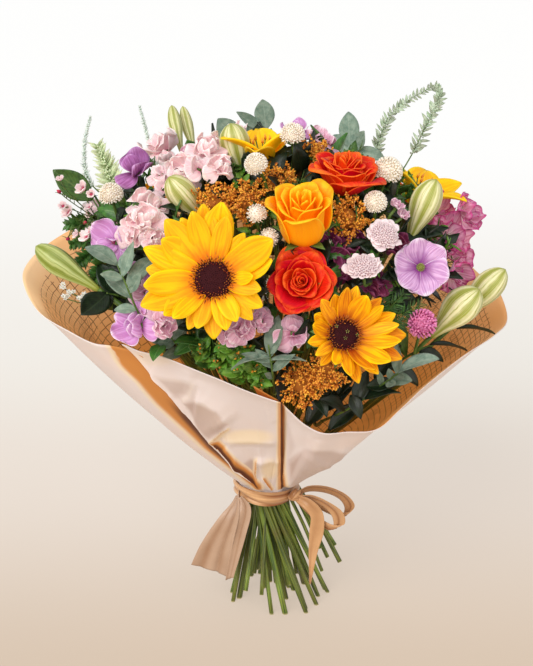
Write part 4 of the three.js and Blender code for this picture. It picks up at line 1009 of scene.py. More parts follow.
@maker
def rose(piece, place, radius, height, openness, petals, seed, pointed=0.5, heart=0.0, flare=1.0, wild=0.0):
    """A rose of spiral petals. `heart` sinks its middle below its shoulders."""
    draw = random.Random(seed)
    for i in range(petals):
        t = i / (petals - 1)
        base = 0.2 + 1.05 * t
        body = -0.14 + (0.16 + 0.72 * openness) * t ** 1.2 + wild * draw.uniform(-0.16, 0.16)
        lip = ((0.1 + 1.35 * t ** 1.4) * (0.35 + 0.65 * openness) + 0.25 * (t > 0.15)) * flare
        rise = height * (1.0 - 0.34 * t * openness - heart * (1 - t) ** 2)
        share = 0.42 * math.cos((base + body) / 2) + 0.58 * math.cos(body + 0.3 * lip)
        length = min(rise / max(share, 0.45), height * 1.12) * draw.uniform(0.96, 1.05)
        width = radius * (0.05 + 0.15 * t)
        form = cupped(
            ROSE_POINT if t > pointed and i % 3 else ROSE_PETAL, width, length, base, body,
            lip * draw.uniform(0.85 - 0.3 * wild, 1.2 + 0.3 * wild), 1.75 - 0.9 * t ** 0.8,
            0.02 + 0.02 * t + 0.03 * wild, draw.uniform(0, TURN),
        )
        turn = i * GOLDEN_ANGLE + (0.2 + 0.4 * wild) * draw.uniform(-1, 1)
        piece.add(form, place @ Matrix.Rotation(turn, 4, "Z"), draw.uniform(0.2, 0.8), MAIN)
    piece.add(CALYX, place @ Matrix.Translation((0, 0, -5)) @ scaled(7, 7, 9), 0.5, GREEN)
    sepals(piece, place, 5, 1, 5, 0.5 * height, 1.25)


def ray_length(place, angle, out, height, lean, reach):
    """The length that makes the tip of a ray show at `reach` from the middle of its flower."""
    turned = place.to_3x3()
    sight = RIGHT * math.cos(angle) + UP * math.sin(angle)
    around = Vector((math.cos(angle), math.sin(angle), 0))
    root = turned @ (around * out + Vector((0, 0, height)))
    ahead = turned @ (around * math.sin(lean) + Vector((0, 0, math.cos(lean))))
    return (reach - root.dot(sight)) / ahead.dot(sight)


def sunflower_rays(piece, place, disc, rays, lean, longest, seed):
    draw = random.Random(seed)
    for degrees, reach, row, breadth in rays:
        angle = math.radians(degrees)
        tilt = lean + (0.12 if row == 0 else -0.04) + draw.uniform(-0.05, 0.05)
        height = 5.5 + 2.0 * row
        out = disc * 0.72
        length = min(max(ray_length(place, angle, out, height, tilt, reach), 26), longest)
        wide = breadth * (1.25 if length < 36 else 1.0)
        spot = petal_place(angle - math.pi / 2, out, height, tilt, length, wide, draw.uniform(-0.22, 0.22))
        piece.add(draw.choice(RAYS), place @ spot, draw.uniform(0.1, 0.9), MAIN)
    piece.add(CALYX, place @ scaled(disc * 0.95, disc * 0.95, 8), 0.5, GREEN)
    for row in range(2):
        sepals(piece, place, disc * 0.8, 3 - 2 * row, 13, disc * 1.1, 1.35 + 0.25 * row)


def sunflower_disc(piece, place, radius, heart, seed, stars):
    draw = random.Random(seed)
    piece.add(MOUND, place @ scaled(radius, radius, 3.4), 0.3, MAIN)
    for i in range(DISC_FLORETS):
        share = math.sqrt((i + 0.5) / DISC_FLORETS)
        angle = i * GOLDEN_ANGLE
        top = 3.2 * (1 - 0.75 * share * share)
        at = Vector((radius * share * math.cos(angle), radius * share * math.sin(angle), top - 0.8))
        out = Vector((math.cos(angle), math.sin(angle), 0))
        if share < heart:
            spot = placed(at, Vector((0, 0, 1)) + 0.3 * share * out)
            spot = spot @ scaled(1.5, 1.5, draw.uniform(1.8, 2.8))
            piece.add(SPIKE_FIVE, place @ spot, draw.uniform(0, 0.6), MAIN)
        else:
            tilt = (share - heart) * 2.6 + draw.uniform(-0.3, 0.3)
            length = draw.uniform(4.6, 9.6)
            spot = placed(at, Vector((0, 0, 1)) + tilt * out, draw.uniform(0, 3)) @ scaled(1.2, 1.2, length)
            piece.add(SPIKE, place @ spot, draw.random(), GREEN)
    for k in range(stars):
        at = Vector((0, 0, 2.6)) + radius * draw.uniform(0.15, 0.8) * Vector(
            (math.cos(k * GOLDEN_ANGLE), math.sin(k * GOLDEN_ANGLE), 0)
        )
        for j in range(5):
            spot = Matrix.Translation(at) @ petal_place(TURN * j / 5, 0.2, 0, 0.8, 2.4, 0.7)
            piece.add(SMALL_PETAL, place @ spot, draw.random(), SECOND)


def mallow(piece, place):
    for k in range(6):
        form = ruffled(curled(BROAD_PETAL, 0.3), 0.035, 3, k * 1.7)
        spot = petal_place(TURN * k / 6 + 0.2, 1.5, 4, 1.34 + 0.05 * (k % 2), 27.5, 1.0, 0.1)
        piece.add(form, place @ spot, 0.4 + 0.04 * k, MAIN)
    piece.add(MOUND, place @ Matrix.Translation((0, 0, 5)) @ scaled(3.2, 3.2, 4), 0.5, SECOND)
    for i in range(MALLOW_ANTHERS):
        out = dome_point(i, MALLOW_ANTHERS, 1.3)
        spot = Matrix.Translation((0, 0, 6)) @ on_ball(out, 2.6) @ scaled(1.0, 1.0, 2.2)
        piece.add(SPIKE, place @ spot, (i % 7) / 7, SECOND)
    piece.add(CALYX, place @ Matrix.Translation((0, 0, -3)) @ scaled(6, 6, 8), 0.5, GREEN)
    sepals(piece, place, 4, 2, 5, 15, 1.2)


BLOOM_STYLES = {
    "stock": (CRUMPLES, ((5, 1.3, 1.0), (4, 0.86, 0.95), (3, 0.45, 0.8), (2, 0.15, 0.55))),
    "cup": (FANS, ((5, 0.95, 1.1), (4, 0.6, 0.9), (3, 0.3, 0.62))),
    "pea": (PEAS, ((3, 1.2, 1.2), (2, 0.75, 1.0), (2, 0.3, 0.72))),
    "frill": (FANS, ((5, 1.0, 1.25), (3, 0.6, 1.0))),
}


@maker
def ruffled_bloom(piece, place, radius, seed, style="stock", tint=MAIN):
    draw = random.Random(seed)
    forms, rows = BLOOM_STYLES[style]
    for count, tilt, size in rows:
        start = draw.uniform(0, TURN)
        for k in range(count):
            turn = start + TURN * (k + draw.uniform(-0.12, 0.12)) / count
            spot = petal_place(
                turn, radius * 0.05, 3, tilt + draw.uniform(-0.16, 0.16),
                radius * size * draw.uniform(0.84, 1.1), draw.uniform(0.9, 1.12), draw.uniform(-0.3, 0.3),
            )
            piece.add(draw.choice(forms), place @ spot, draw.random(), tint)
    for i in range(7):
        spot = placed(Vector((0, 0, 4)), dome_point(i, 7, 0.6)) @ scaled(1.2, 1.2, radius * 0.34)
        piece.add(SPIKE, place @ spot, draw.random(), SECOND)
    piece.add(CALYX, place @ scaled(radius * 0.2, radius * 0.2, 6), 0.5, GREEN)


@maker
def trumpet(piece, place, radius, depth, seed, open_lean=0.52):
    draw = random.Random(seed)
    reach = math.hypot(radius, depth) * 1.12
    for k in range(6):
        form = TEPALS[draw.randrange(3)]
        other, roll = k % 2, draw.uniform(-0.2, 0.2)
        spot = petal_place(TURN * k / 6, 1.5, 3, open_lean + 0.1 * other, reach, 1.5 - 0.35 * other, roll)
        piece.add(form, place @ spot, draw.random(), MAIN)
    for k in range(6):
        out = Vector((0.3 * math.cos(k), 0.3 * math.sin(k), 1)).normalized()
        line = [Vector((0, 0, 4)), out * depth * 0.9]
        piece.add(tube(line, 0.6, 4), place, 0.8, GREEN)
        piece.add(BUD, place @ Matrix.Translation(line[-1]) @ scaled(1.5, 1.5, 2.4), 0.4, SECOND)
    piece.add(CALYX, place @ scaled(5, 5, 8), 0.5, GREEN)


@maker
def pincushion(piece, place, radius, seed):
    """A scabious: a low cushion of florets with a frilled rim."""
    draw = random.Random(seed)
    lifted = place @ Matrix.Translation((0, 0, radius * 0.35))
    piece.add(MOUND, lifted @ scaled(radius * 0.72, radius * 0.72, radius * 0.5), 0.4, MAIN)
    for i in range(SCABIOUS_FLORETS):
        out = dome_point(i, SCABIOUS_FLORETS, 1.45)
        at = Vector((out.x * radius * 0.74, out.y * radius * 0.74, out.z * radius * 0.5))
        star = lifted @ placed(at, out + Vector((0, 0, 0.4)), draw.uniform(0, 3))
        for j in range(3):
            spot = petal_place(TURN * j / 3, 0.2, 0, 0.85, radius * 0.15, 1.2)
            piece.add(SMALL_PETAL, star @ spot, draw.random(), MAIN)
    for row, (count, size) in enumerate(((15, 0.52), (12, 0.4))):
        for k in range(count):
            turn = TURN * (k + draw.uniform(-0.2, 0.2)) / count
            length, roll = radius * size * draw.uniform(0.65, 1.3), draw.uniform(-0.3, 0.3)
            spot = petal_place(turn, radius * 0.56, radius * 0.1 * row, 1.4 - 0.35 * row, length, 1.0, roll)
            piece.add(RIM_FAN, lifted @ spot, draw.random(), MAIN)
    piece.add(CALYX, place @ scaled(radius * 0.6, radius * 0.6, radius * 0.6), 0.5, GREEN)


@maker
def pompon(piece, place, radius, seed, count=200, reach=1.9, size=0.26, width=1.2):
    """A round head of small petals, as of a button or a globe flower."""
    draw = random.Random(seed)
    lifted = place @ Matrix.Translation((0, 0, radius * 0.82))
    piece.add(MOUND, lifted @ scaled(radius * 0.8), 0.6, MAIN)
    for i in range(count):
        out = dome_point(i, count, reach)
        spot = on_ball(out, radius * 0.78, draw.uniform(0, 3)) @ Matrix.Rotation(math.pi / 2, 4, "X")
        spot = spot @ scaled(radius * size * width, radius * size, radius * size)
        piece.add(FLORET_PETAL, lifted @ spot, draw.random(), MAIN)
    piece.add(CALYX, place @ scaled(radius * 0.6, radius * 0.6, radius * 0.5), 0.5, GREEN)


@maker
def lily_bud(piece, place, length, radius, green):
    piece.add(LILY_BUD, place @ scaled(radius, radius, length), green, MAIN)


def ribbed(x, y, z, u, v):
    swell = np.sin(math.pi * np.clip(z, 0, 1))
    rib = 1 + (0.05 * np.cos(3 * TURN * u) + 0.07 * np.cos(6 * TURN * u)) * swell
    return x * rib, y * rib, z


LILY_BUD = ball(
    36, 18,
    [
        (0, 0), (0.2, 0.01), (0.3, 0.1), (0.44, 0.22), (0.66, 0.36), (0.88, 0.5), (1, 0.63), (0.98, 0.75),
        (0.76, 0.88), (0.42, 0.96), (0, 1),
    ],
).shaped(ribbed)


@maker
def fluff(piece, place, width, height, seed):
    """A loose head of tiny buds that crowd along short branches."""
    draw = random.Random(seed)
    middle = place @ Matrix.Translation((0, 0, height * 0.4))
    piece.add(MOUND, middle @ scaled(width * 0.24, width * 0.24, height * 0.24), 0.5, SECOND)
    for i in range(FLUFF_BRANCHES):
        out = (dome_point(i, FLUFF_BRANCHES, 2.3) + 0.25 * scattered(draw)).normalized()
        reach = draw.uniform(0.84, 1.25)
        tip = Vector((out.x * width * 0.5, out.y * width * 0.5, out.z * height * 0.52)) * reach
        bend = 0.16 * width * scattered(draw)
        line = smooth_line([Vector((0, 0, 0)), tip * 0.55 + bend, tip], 8)
        piece.add(tube([middle @ p for p in line[::2]], 0.4, 3), None, 0.6, SECOND)
        for k in range(FLUFF_BUDS):
            share = 0.3 + 0.7 * (k + 0.5) / FLUFF_BUDS
            aside = any_way(draw)
            at = along_line(line, share) + aside * (0.07 * width * (1.2 - share))
            size = draw.uniform(0.6, 1.3)
            piece.add(BUD, middle @ placed(at, aside + out, i) @ scaled(size), draw.random(), MAIN)


@maker
def blossom(piece, place, radius, seed):
    draw = random.Random(seed)
    for k in range(5):
        spot = petal_place(TURN * k / 5, radius * 0.1, 1, 1.15, radius, 1.5)
        piece.add(FLORET_PETAL, place @ spot, draw.random(), MAIN)
    piece.add(BEAD, place @ Matrix.Translation((0, 0, 1.5)) @ scaled(radius * 0.24), 0.2, SECOND)


# The bouquet: heads and sprays, in the order in which their stems are laid in the bunch

SPRAY_STEM = 2.4
SHOOT_STEM = 2.2

seats = []


def seat_stem(at, direction, radius, shoot=False):
    seats.append((at, direction, radius, shoot))


def head(name, make, at, face, sink, finishes, slot, stem=2.6):
    piece = Piece()
    seat = at - face * sink
    make(piece, placed(seat, face))
    piece.made(name + "_bloom", finishes, (name,), slot)
    seat_stem(seat, face, stem)


def spray(name, heads, finishes, slot, fork=52, stalk=1.5, more=None, others=()):
    """Several heads on one branching stem, each as (flower, at, face, sink, roll). The stem ends behind the
    middle of `heads`, and `others` branch off it too."""
    piece = Piece()
    middle = sum((h[1] for h in heads), Vector()) / len(heads)
    inward = sum((h[2] for h in heads), Vector()).normalized()
    seat = middle - inward * fork
    for make, at, face, sink, roll in [*heads, *others]:
        foot = at - face * sink
        line = smooth_line([seat, foot - face * fork * 0.3, foot + face * 2.5], 8)
        piece.add(tube(line, stalk), None, 0.5, GREEN)
        make(piece, placed(foot, face, roll))
    if more:
        more(piece)
    piece.made(name + "_blooms", finishes, (name,), slot)
    seat_stem(seat, inward, SPRAY_STEM)


# The rays of each sunflower: angle, reach, row and breadth, as they show from the front
LEFT_RAYS = [
    (0, 40, 1, 0.9), (12, 60, 0, 1.1), (31, 67, 1, 1.25), (54, 52, 0, 0.9), (76, 59, 1, 1), (92, 62, 1, 1),
    (84, 72, 0, 1.25), (106, 66, 1, 1), (98, 70, 0, 1), (128, 70, 1, 1.1), (117, 64, 0, 1), (141, 62, 0, 1.3),
    (157, 69, 1, 1), (171, 62, 0, 1.1), (185, 68, 1, 1.05), (202, 69, 1, 1.1), (214, 58, 0, 1.1),
    (229, 55, 1, 1), (243, 50, 0, 1), (254, 46, 1, 1), (271, 53, 0, 1.2), (287, 46, 1, 1), (301, 42, 1, 1.1),
    (315, 50, 0, 1), (331, 50, 0, 1.2), (346, 44, 1, 1),
]
RIGHT_RAYS = [
    (93, 46, 1, 1), (77, 48, 0, 1), (62, 47, 1, 1.4), (46, 50, 0, 1.1), (34, 50, 1, 1), (22, 55, 0, 1.1),
    (10, 52, 1, 1), (0, 58, 0, 1.35), (346, 57, 1, 1), (336, 57, 0, 1.1), (321, 54, 1, 1.1), (308, 48, 0, 1),
    (296, 46, 1, 1), (284, 44, 0, 1.1), (271, 38, 1, 1), (249, 28, 1, 1), (233, 27, 0, 1), (217, 26, 1, 1),
    (194, 31, 0, 1.1), (171, 35, 1, 1.2), (150, 36, 0, 1.2), (128, 37, 1, 1.2), (110, 42, 0, 1.1),
]
SUNFLOWER_CUP = 9.5


def sunflower(name, at, face, disc, heart, rays, lean, longest, gold, stars, seed):
    place = placed(at - face * SUNFLOWER_CUP, face)
    piece = Piece()
    narrow = 0.8 if gold is AMBER_RAY else 1
    sunflower_rays(piece, place, disc, [(*ray[:3], ray[3] * narrow) for ray in rays], lean, longest, seed)
    piece.made(name + "_rays", [gold, SEPAL], (name + "_petals",), "sunflower")
    piece = Piece()
    sunflower_disc(piece, placed(at - face * 1.5, face), disc, heart, seed + 1, stars)
    piece.made(name + "_florets", [DISC_HEART, DISC_FRINGE, OLIVE], (name + "_disc",), "disc")
    seat_stem(at - face * SUNFLOWER_CUP, face, 3.2)


sunflower(
    "sunflower_left", on_dome(-54, 54, 22), facing(-0.08, 0.1, 1), 19, 0.64,
    LEFT_RAYS, 1.3, 58, GOLD, 0, 5,
)
sunflower(
    "sunflower_right", on_dome(78, -2, 30), facing(0.2, 0.16, 0.95), 16, 0.7,
    RIGHT_RAYS, 1.1, 48, AMBER_RAY, 4, 9,
)

for name, make, at, face, sink, petals, slot in (
    (
        "rose_amber", rose(33, 55, 0.17, 20, 3, pointed=2, flare=1.15, wild=0.12),
        on_dome(37, 121, 22), facing(-0.05, 0.72, 0.7), 34, AMBER, "amber",
    ),
    (
        "rose_scarlet", rose(29.5, 34, 0.85, 44, 4, pointed=0.3, heart=0.08, wild=1.1),
        on_dome(35, 53, 5), facing(0, 0.12, 1), 30, SCARLET, "scarlet",
    ),
    (
        "rose_red", rose(28, 40, 0.78, 34, 6, pointed=0.4, wild=1.0),
        on_dome(79, 165, 10), facing(0.12, 0.88, 0.45), 26, RED, "red",
    ),
    (
        "rose_back_left", rose(31, 38, 0.7, 16, 7),
        round_dome(124, 16, 4), dome_normal(round_dome(124, 24)), 28, AMBER, "amber",
    ),
    (
        "rose_back_right", rose(31, 38, 0.7, 16, 8),
        round_dome(42, 12, 4), dome_normal(round_dome(42, 20)), 28, SCARLET, "scarlet",
    ),
):
    head(name, make, at, face, sink, [petals, SEPAL], slot, stem=3)
head("mallow", mallow, on_dome(155, 66, 12), facing(0.15, 0.02, 1), 10, [VIOLET, SEPAL, OLIVE], "mauve")


def round_head(make, across, rise, lift, radius, face):
    return make, on_dome(across, rise, lift), facing(*face), radius, 0.0


# Sprays of round heads: petals, slot, fork, and each head with its place, lift, radius and facing
ROUND_HEADS = [
    (
        "scabious", LILAC, "lilac", 52,
        [
            (pincushion(16, 1), 119, 103, 22, 16, (0.15, 0.5, 0.85)),
            (pincushion(17, 2), 96, 74, 16, 17, (-0.1, 0.75, 0.7)),
        ],
    ),
    (
        "buttons_right", CREAM, "cream", 52,
        [
            (pompon(14, 1), 122, 164, 14, 14, (0.2, 0.7, 0.6)),
            (pompon(11, 2), 109, 132, 12, 11, (0, 0.6, 0.75)),
        ],
    ),
    (
        "buttons_middle", CREAM, "cream", 70,
        [
            (pompon(12, 3), 26, 200, 18, 12, (0, 0.85, 0.5)),
            (pompon(11, 4), -11, 170, 20, 11, (-0.3, 0.6, 0.7)),
            (pompon(9.5, 5, 70), -10, 120, 6, 9.5, (-0.1, 0.5, 0.8)),
            (pompon(9.5, 6, 70), 3, 96, -12, 9.5, (0.1, 0.3, 0.9)),
        ],
    ),
    ("button_left", CREAM, "cream", 52, [(pompon(12, 7), -156, 140, 10, 12, (-0.2, 0.8, 0.5))]),
    (
        "globe_pink", GLOBE, "globe", 52,
        [(pompon(13, 8, 150, 2.2, 0.34, 1.1), 156, 11, 10, 13, (0.1, 0.6, 0.8))],
    ),
]
for name, petals, slot, fork, heads in ROUND_HEADS:
    spray(name, [round_head(*one) for one in heads], [petals, SEPAL], slot, fork=fork)


def seen_bud(tip, root, radius, green=0.5):
    tip, root = seen(*tip), seen(*root)
    return lily_bud((tip - root).length, radius, green), root, (tip - root).normalized(), 0, 0.0


# Sprays of lily buds: fork, stalk, and each bud's tip, root, radius and share of green
BUD_SPRAYS = [
    ("lily_bud_left", 46, 3, [((-231, 87, 60), (-166, 42, 76), 12.5, 0.95)]),
    (
        "lily_buds_top", 60, 1.5,
        [((-95, 228, -30), (-84, 176, -12), 6.5, 0.7), ((-84, 227, -44), (-71, 176, -28), 6, 0.6)],
    ),
    (
        "lily_buds_middle", 60, 1.5,
        [((-98, 156, 146), (-58, 108, 116), 14), ((-36, 210, 100), (-23, 156, 88), 14, 0.62)],
    ),
    ("lily_bud_right", 52, 1.5, [((170, 154, 112), (141, 90, 100), 14)]),
    ("lily_buds_corner", 52, 2.2, [((213, 44, 118), (164, -4, 96), 17), ((239, 64, 78), (190, 12, 66), 14)]),
]
for name, fork, stalk, buds in BUD_SPRAYS:
    spray(name, [seen_bud(*bud) for bud in buds], [STRIPED_BUD, SEPAL], "bud", fork=fork, stalk=stalk)


def bloom(across, rise, lift, radius, face, seed, style="stock", tint=MAIN):
    make = ruffled_bloom(radius, seed, style, tint)
    return make, on_dome(across, rise, lift), facing(*face), 12, across * 0.1


# Sprays of ruffled blooms: the blooms before the stem, the finishes, the slot, and the blooms that branch off
BLOOM_SPRAYS = [
    (
        "stock_pale",
        [
            (-85, 164, 4, 21, (-0.4, 0.3, 0.9), 1),
            (-59, 186, 8, 22, (0.1, 0.7, 0.6), 2),
            (-44, 168, 14, 17, (0.3, 0.4, 0.9), 3),
        ],
        [PALE_PINK, SEPAL, MAGENTA_HEART, PINK_LILAC], "pink",
        [
            (-68, 170, 12, 16, (-0.1, 0.6, 0.8), 21, "pea"), (-46, 192, 2, 15, (0.2, 0.9, 0.4), 22, "pea"),
            (-27, 210, -14, 11, (0.1, 0.9, 0.4), 23, "pea"), (-88, 148, 2, 14, (-0.4, 0.2, 0.9), 24),
            (-78, 182, 0, 14, (-0.4, 0.7, 0.6), 45, "pea", THIRD), (-109, 163, 0, 15, (-0.4, 0.6, 0.7), 52),
            (-104, 180, -10, 10, (-0.4, 0.8, 0.5), 53, "pea"),
        ],
    ),
    (
        "sweet_peas_left",
        [(-120, 114, 16, 20, (-0.1, 0.4, 0.9), 4), (-156, 92, 8, 21, (-0.5, 0.1, 0.85), 5, "pea", THIRD)],
        [PALE_PINK, SEPAL, MAGENTA_HEART, MAUVE], "pink",
        [
            (-134, 114, 10, 17, (-0.4, 0.4, 0.8), 25), (-126, 138, 4, 16, (-0.3, 0.7, 0.7), 26, "pea"),
            (-112, 94, 8, 16, (0.2, 0, 1), 27), (-136, 96, 8, 15, (-0.3, 0, 0.9), 28, "pea"),
            (-106, 130, 2, 13, (0.3, 0.5, 0.9), 46, "pea"), (-102, 150, -6, 10, (0.2, 0.7, 0.7), 47, "pea"),
        ],
    ),
    (
        "sweet_peas_mauve",
        [
            (-132, 8, 12, 24, (-0.5, 0.1, 0.85), 6, "pea"),
            (-102, 8, 12, 18, (0.3, -0.2, 0.9), 7, "stock", THIRD),
            (-122, 44, -12, 15, (-0.2, 0.4, 0.9), 8, "pea", THIRD),
        ],
        [MAUVE, SEPAL, MAGENTA_HEART, PINK_LILAC], "mauve",
        [(-122, 66, 0, 15, (-0.2, 0.3, 1), 29, "pea"), (-114, 24, 0, 13, (-0.1, 0.3, 1), 30, "pea", THIRD)],
    ),
    (
        "stock_centre",
        [(-26, 4, -4, 19, (-0.2, -0.1, 1), 9), (28, -2, -6, 17, (0.1, -0.2, 0.95), 10, "pea")],
        [PINK_LILAC, SEPAL, MAGENTA_HEART], "pink",
        [(-6, 14, -12, 14, (0, 0.2, 1), 32), (-40, -2, -10, 12, (-0.2, 0, 1), 33, "pea")],
    ),
    (
        "lisianthus_left",
        [(-131, 167, 6, 21, (-0.1, 0.75, 0.6), 11, "pea")], [PURPLE, SEPAL, CREAM], "mauve", [],
    ),
    (
        "lisianthus_top",
        [(50, 200, -4, 16, (0.3, 0.9, 0.3), 12, "pea")], [PINK_LILAC, SEPAL, CREAM, MAUVE], "mauve",
        [
            (26, 207, -8, 15, (-0.2, 0.9, 0.4), 34, "pea", THIRD),
            (38, 202, -4, 13, (0.1, 0.8, 0.5), 35, "pea", THIRD),
            (66, 196, -12, 12, (0.3, 0.8, 0.4), 48, "pea"),
        ],
    ),
    (
        "gladiolus_right",
        [
            (184, 96, -14, 24, (0.5, 0.2, 0.85), 13, "frill"),
            (190, 58, -4, 19, (0.6, -0.4, 0.8), 14, "frill"),
        ],
        [MAGENTA, SEPAL, CREAM, PINK_LILAC], "mauve",
        [
            (202, 122, -10, 19, (0.8, 0.2, 0.6), 36, "frill"), (192, 76, -6, 17, (0.6, 0, 0.7), 37, "frill"),
            (172, 124, -12, 19, (0.3, 0.5, 0.8), 51, "frill"),
            (133, 134, 18, 9, (0.3, 0.8, 0.5), 38, "cup", THIRD),
            (140, 122, 14, 8, (0.4, 0.6, 0.7), 49, "cup", THIRD),
        ],
    ),
    (
        "lisianthus_plum", [(72, 66, -20, 22, (0.1, -0.1, 1), 15)], [PLUM, SEPAL, CREAM], "plum",
        [
            (84, 92, -22, 20, (0.1, 0.2, 1), 39), (64, 92, -20, 18, (0, 0.2, 1), 40),
            (132, 88, -8, 17, (0.1, 0.1, 1), 41), (110, 48, -20, 18, (0.1, 0.1, 1), 50),
        ],
    ),
]
for name, heads, finishes, slot, others in BLOOM_SPRAYS:
    spray(name, [bloom(*one) for one in heads], finishes, slot, others=[bloom(*one) for one in others])

spray(
    "stock_back",
    [
        (ruffled_bloom(27, 16 + k), round_dome(*spot, 8), dome_normal(round_dome(*spot)), 12, k)
        for k, spot in enumerate(((154, 10), (140, 44)))
    ],
    [PALE_PINK, SEPAL, MAGENTA_HEART], "pink",
)

for name, make, at, face, sink in (
    ("lily_yellow_top", trumpet(34, 38, 1, 0.4), on_dome(-6, 186, -6), facing(-0.1, 0.9, 0.25), 26),
    ("lily_yellow_right", trumpet(34, 38, 2), on_dome(158, 148, -6), facing(0.4, 0.75, 0.3), 28),
):
    head(name, make, at, face, sink, [LILY, SEPAL, RUST], "yellow")


def rust_head(across, rise, lift, width, height, face, seed):
    return fluff(width, height, seed), on_dome(across, rise, lift), facing(*face), height * 0.7, 0.0


# Fluffy heads: place, lift, width, height, facing and seed
RUST_SPRAYS = {
    "rust_left": [(-54, 134, 0, 44, 38, (-0.2, 0.4, 0.9), 11), (-18, 136, -2, 40, 38, (0.1, 0.3, 0.9), 12)],
    "rust_top": [(12, 157, -10, 35, 40, (0.05, 0.5, 0.8), 21), (48, 184, -8, 38, 40, (0.1, 0.8, 0.6), 22)],
    "rust_right": [(80, 120, 2, 42, 50, (0, 0.3, 0.9), 31)],
    "rust_low": [(62, -38, 4, 38, 38, (0.2, 0, 1), 41), (34, -54, 4, 44, 40, (-0.2, -0.3, 0.95), 42)],
}
for name, heads in RUST_SPRAYS.items():
    spray(name, [rust_head(*one) for one in heads], [RUST, SEPAL, RUST_CORE], "rust")


def needles(piece, line, count, length, seed, finish, width=0.9):
    """Fine needles that stand out all round a twig."""
    draw = random.Random(seed)
    for k in range(count):
        at = along_line(line, (k + 0.5) / count)
        ahead = (along_line(line, min(1, (k + 1.5) / count)) - at).normalized()
        out = (ahead + scattered(draw)).normalized()
        spot = placed(at, out) @ scaled(width, width, length * draw.uniform(0.7, 1.2))
        piece.add(SPIKE, spot, draw.random(), finish)


def waxflower_twigs(piece):
    draw = random.Random(77)
    middle = on_dome(-186, 122, -4)
    for k in range(9):
        tip = on_dome(-188 + draw.uniform(-22, 14), 122 + draw.uniform(-34, 34), draw.uniform(2, 14))
        knee = middle.lerp(tip, 0.6) - facing(0, 0, 1) * 6
        line = smooth_line([middle - facing(-0.4, 0.2, 0.7) * 30, knee, tip], 6)
        piece.add(tube(line, 0.6, 4), None, 0.5, GREEN)
        needles(piece, line, 12, 7, k, GREEN)
        face = (facing(-0.5, 0.4, 0.7) + scattered(draw, 0.4)).normalized()
        if k % 3 == 0:
            piece.add(BUD, placed(tip, face) @ scaled(2.2), draw.random(), SECOND)
        else:
            blossom(5.5, k)(piece, placed(tip, face, k))


spray(
    "waxflower_left",
    [
        (blossom(9, k), on_dome(across, rise, 6 + 3 * (k % 2)), facing(-0.6, 0.4, 0.6), 6, float(k))
        for k, (across, rise) in enumerate(((-200, 122), (-186, 146), (-182, 98)))
    ],
    [BLUSH, SEPAL, RUBY], "pink", stalk=1.1, more=waxflower_twigs,
)


# Leafy stems: each is a line of (across, rise, forward) and leaves as (along, out, face, length, width)

LEAFY_STALK = 1.4


def leafy_stem(name, line, leaves, forms, material, slot, shoot=True, extra=0, loose=(), more=None):
    path = [seen(*p) for p in line]
    points = smooth_line(path, 14)
    piece = Piece()
    piece.add(tube(points, [LEAFY_STALK * (1 - 0.5 * k / 14) for k in range(15)]), None, 0.5, GREEN)
    draw = random.Random(1 + len(name))

    def put(*spot):
        piece.add(draw.choice(forms), blade_place(*spot), draw.random(), MAIN)

    for along, out, face, length, width in leaves:
        put(along_line(points, along), facing(*out), facing(*face), length, width)
    for k in range(extra):
        along = 0.4 + 0.6 * k / extra
        at = along_line(points, along)
        ahead = along_line(points, min(1, along + 0.1)) - at if along < 0.9 else path[-1] - path[-2]
        ahead = ahead.normalized()
        side = ahead.cross(TOWARD) * (1 if k % 2 else -1)
        out = (ahead * 0.6 + side + TOWARD * draw.uniform(-0.1, 0.5)).normalized()
        face = (TOWARD + ahead * 0.5 + RIGHT * draw.uniform(-0.3, 0.3)).normalized()
        *_, length, width = draw.choice(leaves)
        size = draw.uniform(0.5, 0.8)
        put(at, out, face, length * size, width * size)
    for at, out, face, length, width in loose:
        put(seen(*at), facing(*out), facing(*face), length, width)
    if more:
        more(piece)
    piece.made(name + "_leaves", [material, SEPAL, RUST], (name,), slot)
    seat_stem(path[0], (points[1] - path[0]).normalized(), SHOOT_STEM, shoot)


